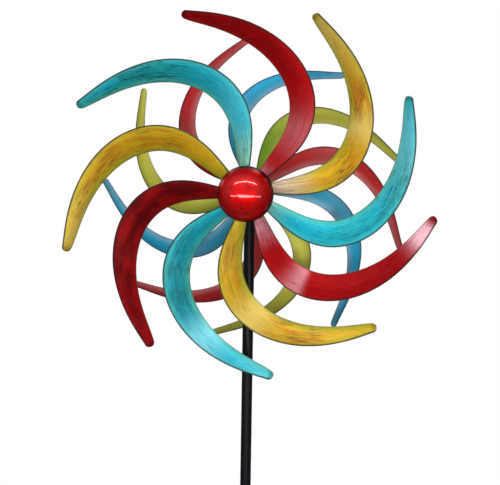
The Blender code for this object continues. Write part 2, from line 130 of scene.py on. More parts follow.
class Signal:
    """A shader socket that can stand in a Python expression."""

    def __init__(self, paint: "PaintShop", socket: bpy.types.NodeSocket) -> None:
        """Args:
        paint: the material's nodes.
        socket: the output that carries the value.
        """
        self.paint = paint
        self.socket = socket

    def _join(self, operation: str, other: "Value", flipped: bool = False) -> "Signal":
        """Adds the node for one operation: Math on numbers, Mix on colours, Vector Math on vectors.

        Args:
            operation: ADD, SUBTRACT, MULTIPLY or DIVIDE.
            other: the other value.
            flipped: whether the other value comes first.

        Returns:
            The result.
        """
        kinds = {s.socket.type for s in (self, other) if isinstance(s, Signal)}
        first, second = (other, self) if flipped else (self, other)
        if "RGBA" in kinds:
            settings = {"data_type": "RGBA", "blend_type": operation}
            return self.paint.node("ShaderNodeMix", settings, {0: 1.0, 6: first, 7: second}, 2)
        kind = "ShaderNodeVectorMath" if "VECTOR" in kinds else "ShaderNodeMath"
        return self.paint.node(kind, {"operation": operation}, {0: first, 1: second})

    def __add__(self, other: "Value") -> "Signal":
        """Sum."""
        return self._join("ADD", other)

    __radd__ = __add__

    def __sub__(self, other: "Value") -> "Signal":
        """Difference."""
        return self._join("SUBTRACT", other)

    def __rsub__(self, other: "Value") -> "Signal":
        """Difference from another value."""
        return self._join("SUBTRACT", other, flipped=True)

    def __mul__(self, other: "Value") -> "Signal":
        """Product."""
        return self._join("MULTIPLY", other)

    __rmul__ = __mul__

    def __truediv__(self, other: "Value") -> "Signal":
        """Quotient."""
        return self._join("DIVIDE", other)

    def fade(self, start: float, end: float, low: float = 0.0, high: float = 1.0) -> "Signal":
        """Goes smoothly from low to high as this value goes from start to end.

        Args:
            start: value where the fade starts.
            end: value where it ends, above start.
            low: result before the start.
            high: result after the end.

        Returns:
            The faded value.
        """
        sockets = {"Value": self, "From Min": start, "From Max": end, "To Min": low, "To Max": high}
        return self.paint.node("ShaderNodeMapRange", {"interpolation_type": "SMOOTHSTEP"}, sockets)

    def under(self, start: float, end: float) -> "Signal":
        """1 where this value is under the start, going smoothly to 0 at the end."""
        return self.fade(start, end, 1.0, 0.0)


class PaintShop:
    """The nodes of one material or of the world, written as expressions."""

    def __init__(self, owner: bpy.types.Material | bpy.types.World) -> None:
        """Starts with the nodes that the owner has when it is new.

        Args:
            owner: a new material or world.
        """
        owner.use_nodes = True
        self.owner = owner
        self.tree = owner.node_tree

    def node(
        self,
        kind: str,
        settings: dict[str, object] | None = None,
        sockets: dict[str | int, "Value"] | None = None,
        output: str | int = 0,
    ) -> Signal:
        """Adds a node.

        Args:
            kind: the node's type.
            settings: its settings, which are set first.
            sockets: values or links of its inputs, by name or number.
            output: the output that is used, by name or number.

        Returns:
            That output.
        """
        made = self.tree.nodes.new(kind)
        for name, value in (settings or {}).items():
            setattr(made, name, value)
        for key, value in (sockets or {}).items():
            self.feed(made.inputs[key], value)
        return Signal(self, made.outputs[output])

    def feed(self, socket: bpy.types.NodeSocket, value: "Value") -> None:
        """Links a signal to an input, or sets the input to a constant.

        Args:
            socket: the input.
            value: a signal, a number or a colour.
        """
        if isinstance(value, Signal):
            self.tree.links.new(value.socket, socket)
        elif socket.type == "RGBA":
            socket.default_value = (*value, 1.0) if isinstance(value, tuple) else (value, value, value, 1.0)
        else:
            socket.default_value = value

    def attribute(self, name: str) -> Signal:
        """A number stored on the piece's own points."""
        return self.node("ShaderNodeAttribute", {"attribute_name": name}, output="Fac")

    def place(self) -> Signal:
        """The point's place in the object's own axes."""
        return self.node("ShaderNodeTexCoord", output="Object")

    def axes(self, vector: Signal) -> list[Signal]:
        """A vector's three parts."""
        split = self.node("ShaderNodeSeparateXYZ", None, {0: vector}).socket.node
        return [Signal(self, out) for out in split.outputs]

    def vector(self, x: "Value", y: "Value", z: "Value") -> Signal:
        """A vector of three parts."""
        return self.node("ShaderNodeCombineXYZ", None, {0: x, 1: y, 2: z})

    def grain(
        self, where: Signal, scale: float, detail: float = 2.0, rough: float = 0.5, bend: float = 0.0
    ) -> Signal:
        """Smooth noise, 0 to 1.

        Args:
            where: coordinates.
            scale: grains in a unit of the coordinates.
            detail: octaves.
            rough: strength of the finer octaves.
            bend: distortion.

        Returns:
            The noise.
        """
        sockets = {"Vector": where, "Scale": scale, "Detail": detail, "Roughness": rough, "Distortion": bend}
        return self.node("ShaderNodeTexNoise", None, sockets)

    def blend(self, mask: "Value", below: "Value", over: "Value") -> Signal:
        """Lays one colour over another where the mask is 1."""
        return self.node("ShaderNodeMix", {"data_type": "RGBA"}, {0: mask, 6: below, 7: over}, 2)

    def relief(self, height: Signal, depth: float, strength: float) -> Signal:
        """A normal from a height of 0 to 1, a depth in metres and how much of it is used."""
        return self.node("ShaderNodeBump", None, {"Strength": strength, "Distance": depth, "Height": height})

    def coat(self, **sockets: "Value") -> bpy.types.Material:
        """Feeds the shader, where an underscore in a name stands for a space, and returns the material.

        Returns:
            The finished material.
        """
        shader = self.tree.nodes["Principled BSDF"]
        for name, value in sockets.items():
            self.feed(shader.inputs[name.replace("_", " ")], value)
        return self.owner


class BladePaint(PaintShop):
    """The nodes of a blade's lacquer, which reads the numbers on the blade's points."""

    def __init__(self, name: str) -> None:
        """Starts a material and reads where along and across the blade a point is."""
        super().__init__(bpy.data.materials.new(name))
        self.along, self.across, self.seed = map(self.attribute, ("along", "across", "seed"))

    def strokes(
        self,
        along: float,
        across: float,
        detail: float,
        rough: float = 0.5,
        bend: float = 0.0,
        shift: float = 0.0,
    ) -> Signal:
        """Noise drawn out along the blade.

        Args:
            along: grains in a metre along the blade.
            across: grains in a metre across it.
            detail: octaves.
            rough: strength of the finer octaves.
            bend: distortion.
            shift: moves the pattern, so that two of them differ.

        Returns:
            The noise.
        """
        where = self.vector(self.along * along, self.across * across, self.seed + shift)
        return self.grain(where, 1.0, detail, rough, bend)


Value = Union[Signal, float, Colour]


# -------------------------------------------------------------------- finishes


@dataclass(frozen=True)
class BrushedLacquer:
    """Metallic lacquer laid on by hand along the blade, with painted highlights and shade and a dark edge
    line.

    The blade's own numbers are read: metres from the root, from the tip, from either edge and from the centre
    line, and how bare and how worked the coat is, and how much painted highlight and painted shade it
    carries.
    """

    name: str
    body: Colour
    warm: Colour
    deep: Colour
    painted_highlight: Colour
    bare: Colour
    hollow: Colour
    mark: Colour
    hollow_share: float = 0.5
    outer_share: float = 0.3
    streaks: float = 0.9
    sheen: float = 0.25
    gloss: float = 0.18
    outer_line: Colour = tint(0.10, 0.07, 0.07)
    hollow_line: Colour = tint(0.30, 0.27, 0.20)

    def make(self) -> bpy.types.Material:
        """Returns:
        The material.
        """
        paint = BladePaint(self.name)
        strokes = paint.strokes(16.0, 360.0, 4.0, 0.62, 0.25)
        hairs = paint.strokes(60.0, 900.0, 3.0, 0.65)
        swathes = paint.strokes(10.0, 80.0, 3.0, 0.55, 0.6)
        clouds = paint.strokes(24.0, 60.0, 2.0, shift=40.0)
        scores = paint.strokes(48.0, 640.0, 4.0, 0.7, 0.15, shift=80.0)
        worked, outer_edge, hollow_edge = map(paint.attribute, ("worked", "outer", "hollow"))

        colour = paint.blend(swathes.fade(0.40, 0.58) * (worked * 0.8 + 0.2), self.body, self.warm)
        # Painted shade: the shade numbers darken stretches of some blades where they face away from the
        # light; on a few they only darken the tip.
        colour = paint.blend(paint.attribute("shade") * clouds.fade(0.3, 0.6, 0.55, 1.1), colour, self.deep)
        dark = strokes.fade(0.49, 0.62) * clouds.fade(0.36, 0.58) * (worked + 0.15) * self.streaks
        colour = paint.blend(dark, colour, self.deep)
        # Fine pale brush hairs in the colour of the painted highlights, then fine dark ones.
        colour = paint.blend(hairs.fade(0.50, 0.70, 0.0, self.sheen * 0.6), colour, self.painted_highlight)
        colour = paint.blend(hairs.fade(0.34, 0.47, self.sheen, 0.0), colour, self.deep)
        drift = (swathes - 0.5) * 0.012
        stain = (hollow_edge + drift).under(0.001, 0.014) * self.hollow_share
        colour = paint.blend(stain, colour, self.hollow)
        stain = (outer_edge + drift).under(0.001, 0.011) * self.outer_share
        colour = paint.blend(stain, colour, self.hollow)
        # Painted highlight: pale bands across the blade where light would gleam on it, broken up by the brush
        # strokes.
        wear_and_highlight = paint.attribute("painted_highlight") * hairs.fade(0.3, 0.58, 0.55, 1.0) * strokes.fade(0.3, 0.6, 0.55, 1.0)
        colour = paint.blend(wear_and_highlight, colour, self.painted_highlight)
        bare = (paint.attribute("bare") + (strokes - 0.5) * 0.6).fade(0.2, 0.85)
        scratches = strokes.fade(0.44, 0.60, 0.0, 0.5) + scores.fade(0.54, 0.62, 0.0, 0.4)
        ground = paint.blend(scratches, self.bare, self.mark)
        colour = paint.blend(bare, colour, paint.blend(hairs.fade(0.5, 0.65, 0.0, 0.4), ground, self.painted_highlight))
        patches = (clouds + worked * 0.07).fade(0.46, 0.60)
        score = scores.fade(0.54, 0.62) * patches * (worked + 0.12) * self.streaks
        colour = paint.blend(score, colour, self.mark)
        line = (strokes - 0.5) * 0.0016
        outer = (outer_edge + line).under(0.0011, 0.0031)
        inner = (hollow_edge + line).under(0.0004, 0.0021) * 0.65
        cap = (paint.attribute("tip") + (clouds - 0.5) * 0.008).under(0.003, 0.011) * 0.55
        colour = paint.blend(cap, colour, self.deep)
        colour = paint.blend(inner, colour, self.hollow_line)
        colour = paint.blend(outer * 0.9, colour, self.outer_line)
        height = strokes * 0.5 + hairs * 0.3 + clouds * 0.6
        return paint.coat(
            Base_Color=colour,
            Metallic=0.38 - outer * 0.3 + bare * 0.25,
            Roughness=0.36 + strokes.fade(0.3, 0.8, 0.0, 0.12) + outer * 0.2,
            Normal=paint.relief(height, 0.0004, 0.5),
            Specular_IOR_Level=self.gloss,
        )


@dataclass(frozen=True)
class SprayedLacquer:
    """Thinner metallic lacquer sprayed evenly, tinted towards the root and along the two edges."""

    name: str
    body: Colour
    root: Colour
    outer: Colour
    hollow: Colour
    deep: Colour
    outer_line: Colour = tint(0.12, 0.10, 0.11)
    hollow_line: Colour = tint(0.28, 0.26, 0.25)

    def make(self) -> bpy.types.Material:
        """Returns:
        The material.
        """
        paint = BladePaint(self.name)
        mist = paint.strokes(14.0, 40.0, 3.0, 0.5, 0.4)
        strokes = paint.strokes(12.0, 500.0, 3.0, 0.6, 0.2)
        speck = paint.grain(paint.vector(paint.along, paint.across, paint.seed), 1400.0, 2.0, 0.6)
        colour = paint.blend(paint.attribute("bare"), self.body, self.root)
        outer_edge, hollow_edge = map(paint.attribute, ("outer", "hollow"))
        blur = (mist - 0.5) * 0.008
        colour = paint.blend((outer_edge + blur).under(0.001, 0.010) * 0.5, colour, self.outer)
        colour = paint.blend((hollow_edge + blur).under(0.0, 0.013) * 0.65, colour, self.hollow)
        # Painted highlight: a pale band across the blade, in the hollow edge's colour.
        colour = paint.blend(paint.attribute("painted_highlight") * mist.fade(0.2, 0.7, 0.7, 1.0), colour, self.hollow)
        streaks = mist.fade(0.5, 0.8, 0.0, 0.22) + strokes.fade(0.55, 0.8, 0.0, 0.15)
        # Painted shade on the upper blades and darkening towards each tip, with the mist's streaks.
        colour = paint.blend(paint.attribute("shade") * 0.8 + streaks, colour, self.deep)
        wobble = (strokes - 0.5) * 0.001
        line = (outer_edge + wobble).under(0.0010, 0.0028)
        rim = (hollow_edge + wobble).under(0.0003, 0.0016) * 0.7
        colour = paint.blend(rim, colour, self.hollow_line)
        colour = paint.blend(line * 0.85, colour, self.outer_line)
        return paint.coat(
            Base_Color=colour,
            Metallic=0.38 - line * 0.3,
            Roughness=0.40 + mist.fade(0.3, 0.8, 0.0, 0.08) + line * 0.2,
            Normal=paint.relief(mist * 0.7 + speck * 0.12 + strokes * 0.25, 0.0004, 0.5),
            Specular_IOR_Level=0.18,
        )


@dataclass(frozen=True)
class CandyLacquer:
    """Clear red lacquer over a bright ground, with painted shade that darkens it away from the ball's face.
    """

    name: str
    face: Colour
    side: Colour
    deep: Colour
    radius: float

    def make(self) -> bpy.types.Material:
        """Returns:
        The material.
        """
        paint = PaintShop(bpy.data.materials.new(self.name))
        spot = paint.place()
        x, _, z = paint.axes(spot - (0.0, 0.0, AXLE_HEIGHT))
        away = paint.node("ShaderNodeMath", {"operation": "SQRT"}, {0: x * x + z * z}) / self.radius
        cloud = paint.grain(spot, 70.0, 4.0, 0.6, 0.8)
        # Painted shade: the red darkens from the ball's face towards its sides.
        colour = paint.blend((away + (cloud - 0.5) * 0.25).fade(0.30, 0.80), self.face, self.side)
        colour = paint.blend(cloud.fade(0.48, 0.64, 0.0, 0.75), colour, self.side)
        veins = paint.grain(spot, 150.0, 3.0, 0.6, 1.5)
        colour = paint.blend(veins.fade(0.54, 0.66, 0.0, 0.45) * cloud.fade(0.42, 0.58), colour, self.deep)
        # Painted shade: a dark ring at the ball's rim, where it curves away.
        colour = paint.blend((away + (cloud - 0.5) * 0.08).fade(0.86, 0.98), colour, self.deep)
        ripple = paint.grain(spot, 120.0, 2.0, 0.5)
        return paint.coat(
            Base_Color=colour,
            Metallic=0.65,
            Roughness=0.30 + cloud.fade(0.3, 0.8, 0.0, 0.08),
            Coat_Weight=away.under(0.60, 0.85),
            Coat_Roughness=0.05,
            Coat_IOR=1.6,
            Specular_Tint=self.deep,
            Normal=paint.relief(ripple, 0.0004, 0.35),
        )


@dataclass(frozen=True)
class PowderCoat:
    """Satin powder coat with a fine orange-peel skin and faint scuffs along the height."""

    name: str
    body: Colour
    wear_and_highlight: Colour

    def make(self) -> bpy.types.Material:
        """Returns:
        The material.
        """
        paint = PaintShop(bpy.data.materials.new(self.name))
        spot = paint.place()
        peel = paint.grain(spot, 900.0, 2.0, 0.5)
        x, y, z = paint.axes(spot)
        scuff = paint.grain(paint.vector(x * 260.0, y * 260.0, z * 14.0), 1.0, 4.0, 0.65)
        cloud = paint.grain(spot, 40.0, 3.0, 0.5)
        mark = scuff.fade(0.66, 0.8) * cloud.fade(0.45, 0.65)
        colour = paint.blend(mark * 0.5 + cloud.fade(0.4, 0.8, 0.0, 0.12), self.body, self.wear_and_highlight)
        return paint.coat(
            Base_Color=colour,
            Metallic=0.0,
            Roughness=0.34 + peel.fade(0.3, 0.7, 0.0, 0.08) + mark * 0.15,
            Normal=paint.relief(peel, 0.00008, 0.6),
            Specular_IOR_Level=0.16,
        )


@dataclass(frozen=True)
class BareMetal:
    """Plated, sintered or cast metal: mottled colour, a fine grain and dulled patches."""

    name: str
    body: Colour
    dull: Colour
    roughness: float
    grain_scale: float
    grain_depth: float

    def make(self) -> bpy.types.Material:
        """Returns:
        The material.
        """
        paint = PaintShop(bpy.data.materials.new(self.name))
        spot = paint.place()
        cloud = paint.grain(spot, 140.0, 4.0, 0.6)
        grain = paint.grain(spot, self.grain_scale, 3.0, 0.6)
        mottle = cloud.fade(0.4, 0.7) * 0.7 + grain.fade(0.5, 0.8, 0.0, 0.3)
        colour = paint.blend(mottle, self.body, self.dull)
        return paint.coat(
            Base_Color=colour,
            Metallic=cloud.fade(0.5, 0.8, 1.0, 0.85),
            Roughness=self.roughness + cloud.fade(0.3, 0.7, 0.0, 0.18),
            Normal=paint.relief(grain, self.grain_depth, 0.7),
        )


class Finish(Enum):
    """Every finish on the spinner."""

    YELLOW = BrushedLacquer(
        "yellow_brushed_lacquer",
        body=tint(0.72, 0.58, 0.04), warm=tint(0.68, 0.42, 0.02), deep=tint(0.41, 0.30, 0.08),
        painted_highlight=tint(0.83, 0.75, 0.45), bare=tint(0.76, 0.67, 0.58), hollow=tint(0.56, 0.61, 0.16),
        mark=tint(0.27, 0.17, 0.06), hollow_share=0.65, outer_share=0.45, sheen=0.32,
    )
    RED = BrushedLacquer(
        "red_brushed_lacquer",
        body=tint(0.55, 0.01, 0.02), warm=tint(0.62, 0.01, 0.02), deep=tint(0.28, 0.00, 0.01),
        painted_highlight=tint(0.94, 0.72, 0.76), bare=tint(0.72, 0.45, 0.50), hollow=tint(0.70, 0.10, 0.12),
        mark=tint(0.20, 0.01, 0.02), hollow_share=0.25, outer_share=0.0, streaks=0.4, sheen=0.03,
        gloss=0.08,
    )
    CYAN = BrushedLacquer(
        "cyan_brushed_lacquer",
        body=tint(0.00, 0.60, 0.69), warm=tint(0.03, 0.55, 0.56), deep=tint(0.03, 0.34, 0.37),
        painted_highlight=tint(0.56, 0.84, 0.88), bare=tint(0.51, 0.75, 0.64), hollow=tint(0.31, 0.70, 0.60),
        mark=tint(0.06, 0.21, 0.22), hollow_share=0.55, sheen=0.28,
    )
    OLIVE = SprayedLacquer(
        "olive_sprayed_lacquer",
        body=tint(0.66, 0.65, 0.24), root=tint(0.38, 0.62, 0.14), outer=tint(0.45, 0.48, 0.14),
        hollow=tint(0.66, 0.64, 0.30), deep=tint(0.36, 0.37, 0.10),
    )
    DULL_RED = SprayedLacquer(
        "dull_red_sprayed_lacquer",
        body=tint(0.63, 0.12, 0.13), root=tint(0.61, 0.13, 0.11), outer=tint(0.50, 0.07, 0.08),
        hollow=tint(0.70, 0.42, 0.42), deep=tint(0.38, 0.05, 0.06),
    )
    BLUE = SprayedLacquer(
        "blue_sprayed_lacquer",
        body=tint(0.13, 0.57, 0.71), root=tint(0.14, 0.48, 0.58), outer=tint(0.10, 0.44, 0.57),
        hollow=tint(0.50, 0.62, 0.69), deep=tint(0.10, 0.35, 0.45),
    )
    BALL = CandyLacquer(
        "red_candy_lacquer",
        face=tint(0.93, 0.00, 0.00), side=tint(0.72, 0.00, 0.02), deep=tint(0.30, 0.00, 0.02),
        radius=0.0437,
    )
    BLACK = PowderCoat("black_powder_coat", body=tint(0.025, 0.025, 0.045), wear_and_highlight=tint(0.12, 0.11, 0.14))
    ZINC = BareMetal("zinc_plate", tint(0.80, 0.80, 0.78), tint(0.60, 0.60, 0.60), 0.26, 900.0, 0.00003)
    BRONZE = BareMetal(
        "sintered_bronze", tint(0.72, 0.55, 0.34), tint(0.48, 0.36, 0.22), 0.38, 2200.0, 0.00006
    )
    ALLOY = BareMetal("cast_alloy", tint(0.66, 0.66, 0.68), tint(0.48, 0.48, 0.50), 0.42, 700.0, 0.00012)
    WELD = BareMetal("weld_bead", tint(0.52, 0.50, 0.48), tint(0.34, 0.30, 0.28), 0.34, 1100.0, 0.00010)


class Palette:
    """Makes each finish once."""

    def __init__(self) -> None:
        """Starts with nothing made."""
        self._made: dict[str, bpy.types.Material] = {}

    def __getitem__(self, finish: Finish) -> bpy.types.Material:
        """The finish's material.

        Args:
            finish: one of the named finishes.

        Returns:
            Its material.
        """
        if finish.name not in self._made:
            self._made[finish.name] = finish.value.make()
            LOG.info("finish %s", finish.value.name)
        return self._made[finish.name]


# ---------------------------------------------------------------- workshop


class Join(Enum):
    """How two closed shapes are combined."""

    UNION = "UNION"
    CUT = "DIFFERENCE"
    CROSS = "INTERSECT"


@dataclass
class Workshop:
    """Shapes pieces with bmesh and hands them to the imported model's bodies."""

    palette: Palette = field(default_factory=Palette)
    count: int = 0
    bead_ripple: float = 0.16
    bead_roughness: float = 0.12

    def turned(self, profile: Profile, steps: int = 96, closed: bool = True) -> Shape:
        """Spins a profile about Z.

        Args:
            profile: (radius, height) points. A closed one goes round a bore, and an open one starts and
                ends on the axis.
            steps: sides of the turned shape.
            closed: whether the last point joins the first.

        Returns:
            The closed shape.
        """
        shape = bmesh.new()
        points = [shape.verts.new((radius, 0.0, height)) for radius, height in profile]
        pairs = list(zip(points, points[1:])) + ([(points[-1], points[0])] if closed else [])
        edges = [shape.edges.new(pair) for pair in pairs]
        bmesh.ops.spin(
            shape, geom=points + edges, cent=(0, 0, 0), axis=(0, 0, 1), angle=2 * math.pi, steps=steps,
            use_merge=True,
        )
        bmesh.ops.remove_doubles(shape, verts=shape.verts, dist=MERGED)
        bmesh.ops.recalc_face_normals(shape, faces=shape.faces)
        return shape

    def soften(self, shape: Shape, width: float, segments: int = 3, angle: float = 40.0) -> None:
        """Rounds every edge that is sharper than the angle, in degrees.

        Args:
            shape: the shape, which is changed.
            width: the rounding's width.
            segments: steps of the rounding.
            angle: the least angle that is rounded.
        """
        least = math.radians(angle)
        sharp = [edge for edge in shape.edges if edge.is_manifold and edge.calc_face_angle(0.0) > least]
        bmesh.ops.bevel(
            shape, geom=sharp, offset=width, offset_type="OFFSET", segments=segments, profile=0.5,
            affect="EDGES", clamp_overlap=True, material=-1,
        )

    def rod(self, radius: float, length: float, matrix: Matrix, sides: int = 64) -> Shape:
        """A round bar along the matrix's Z, centred on it.

        Args:
            radius: its radius.
            length: its length.
            matrix: its place.
            sides: how many flat sides it has.

        Returns:
            The bar.
        """
        shape = bmesh.new()
        bmesh.ops.create_cone(
            shape, cap_ends=True, segments=sides, radius1=radius, radius2=radius, depth=length, matrix=matrix
        )
        return shape

    def combine(self, base: Shape, tool: Shape, join: Join) -> Shape:
        """Joins, cuts or crosses two closed shapes, and uses both up.

        Args:
            base: the shape that is worked on.
            tool: the shape that works on it.
            join: what is kept.

        Returns:
            The new shape.
        """
        made = [settled("base", base), settled("tool", tool)]
        boolean = made[0].modifiers.new("join", "BOOLEAN")
        boolean.operation, boolean.solver, boolean.object = join.value, "EXACT", made[1]
        graph = bpy.context.evaluated_depsgraph_get()
        result = bpy.data.meshes.new_from_object(made[0].evaluated_get(graph))
        shape = bmesh.new()
        shape.from_mesh(result)
        bpy.data.meshes.remove(result)
        for obj in made:
            bpy.data.meshes.remove(obj.data)
        bmesh.ops.remove_doubles(shape, verts=shape.verts, dist=MERGED)
        return shape

    def drill(self, shape: Shape, radius: float, depth: float, matrix: Matrix, sides: int = 24) -> Shape:
        """Cuts a round hole along the matrix's Z, centred on it, and uses the shape up."""
        return self.combine(shape, self.rod(radius, depth, matrix, sides), Join.CUT)

    def block(self, width: float, depth: float, height: float) -> Shape:
        """A box round the origin.

        Args:
            width: its size along X.
            depth: its size along Y.
            height: its size along Z.

        Returns:
            The box.
        """
        shape = bmesh.new()
        bmesh.ops.create_cube(shape, size=1.0)
        bmesh.ops.scale(shape, vec=(width, depth, height), verts=shape.verts)
        return shape

    def piece(
        self,
        name: str,
        shape: Shape,
        finish: Finish,
        body: str,
        matrix: Matrix | None = None,
        slot: str | None = None,
        sharp: float = 34.0,
    ) -> bpy.types.Object:
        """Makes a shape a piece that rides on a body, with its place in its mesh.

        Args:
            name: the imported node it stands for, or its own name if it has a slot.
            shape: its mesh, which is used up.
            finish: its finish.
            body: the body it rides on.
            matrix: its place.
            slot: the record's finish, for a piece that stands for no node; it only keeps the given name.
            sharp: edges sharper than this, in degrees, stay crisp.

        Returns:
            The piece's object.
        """
        if matrix is not None:
            bmesh.ops.transform(shape, matrix=matrix, verts=shape.verts)
        obj = settled(name if slot else f"made_{name}", shape)
        mesh = obj.data
        mesh.materials.append(self.palette[finish])
        mesh.shade_smooth()
        mesh.set_sharp_from_angle(angle=math.radians(sharp))
        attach(obj, body)
        if slot:
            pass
        else:
            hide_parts(name)
        self.count += 1
        LOG.info("piece %s on %s, %d faces", obj.name, body, len(mesh.polygons))
        return obj

    def ring(self, outer: float, inner: float, low: float, high: float) -> Profile:
        """The closed profile of a plain ring."""
        return [(outer, high), (outer, low), (inner, low), (inner, high)]

    def bead(self, start: Vector, end: Vector, radius: float, ripples: int) -> Shape:
        """A weld bead from one point to another, with the ripples the puddle leaves.

        Args:
            start: one end.
            end: the other end.
            radius: half its thickness.
            ripples: how many there are.

        Returns:
            The bead.
        """
        shape = bmesh.new()
        bmesh.ops.create_uvsphere(shape, u_segments=16, v_segments=6 * ripples, radius=1.0)
        half = (end - start).length / 2 + radius * 0.4
        for vert in shape.verts:
            height = vert.co.z
            swell = 1.0 + self.bead_ripple * math.sin(height * math.pi * ripples)
            swell += self.bead_roughness * noise.noise(vert.co * 2.3 + start * 90)
            full = min(1.0, math.sqrt(max(0.0, 1.0 - height * height)) * 1.6)
            side = Vector((vert.co.x, vert.co.y, 0.0))
            if side.length > MERGED:
                side.normalize()
            vert.co = side * radius * swell * full + Vector((0.0, 0.0, height * half))
        turn = (end - start).to_track_quat("Z", "Y").to_matrix().to_4x4()
        bmesh.ops.transform(shape, matrix=Matrix.Translation((start + end) / 2) @ turn, verts=shape.verts)
        return shape

    def gather(self, shapes: Sequence[Shape]) -> Shape:
        """Puts several shapes into one.

        Args:
            shapes: the shapes, which are used up.

        Returns:
            The one shape.
        """
        whole = bmesh.new()
        for shape in shapes:
            mesh = bpy.data.meshes.new("part")
            shape.to_mesh(mesh)
            shape.free()
            whole.from_mesh(mesh)
            bpy.data.meshes.remove(mesh)
        return whole


@dataclass(frozen=True)
class PanScrew:
    """A pan-head screw with a cross recess, its head's seat at height 0.

    The recess is given in shares of the head's radius, radius and height.
    """

    head_radius: float
    head_height: float
    shank_radius: float
    shank_length: float
    pointed: bool
    pitch: float = 0.0007
    thread_depth: float = 0.00018
    head_edge: float = 0.00015
    plain_length: float = 0.0006
    least_run_out: float = 0.001
    recess: tuple[float, float, float] = (1.15, 0.24, 1.1)
    recess_taper: tuple[float, float, float] = (0.45, 0.8, 1.0)

    def shape(self, shop: Workshop) -> Shape:
        """Turns the screw and cuts the cross into its head.

        Args:
            shop: the workshop that makes the pieces.

        Returns:
            The screw, along Z.
        """
        profile = [(0.0, self.head_height)]
        profile += arc(
            self.head_radius, self.head_height * 0.45, (18, 36, 54, 70, 82, 90), self.head_height * 0.55
        )
        profile += [(self.head_radius, self.head_edge), (self.head_radius - self.head_edge, 0.0)]
        profile.append((self.shank_radius, 0.0))
        for turn in range(int((self.shank_length - self.least_run_out) / self.pitch)):
            low = -self.plain_length - turn * self.pitch
            profile.append((self.shank_radius, low))
            profile.append((self.shank_radius - self.thread_depth, low - self.pitch / 2))
        profile.append((self.shank_radius, -self.shank_length))
        profile.append((0.0, -self.shank_length - (self.shank_radius if self.pointed else 0.0)))
        screw = shop.turned(profile, 48, closed=False)
        for turn in (0.0, math.pi / 2):
            length, width, depth = self.recess
            blade = shop.block(self.head_radius * length, self.head_radius * width, self.head_height * depth)
            bmesh.ops.scale(blade, vec=self.recess_taper, verts=[v for v in blade.verts if v.co.z < 0])
            where = Matrix.Rotation(turn, 4, "Z") @ up_to(self.head_height)
            bmesh.ops.transform(blade, matrix=where, verts=blade.verts)
            screw = shop.combine(screw, blade, Join.CUT)
        return screw


# ---------------------------------------------------------------- stake and pole


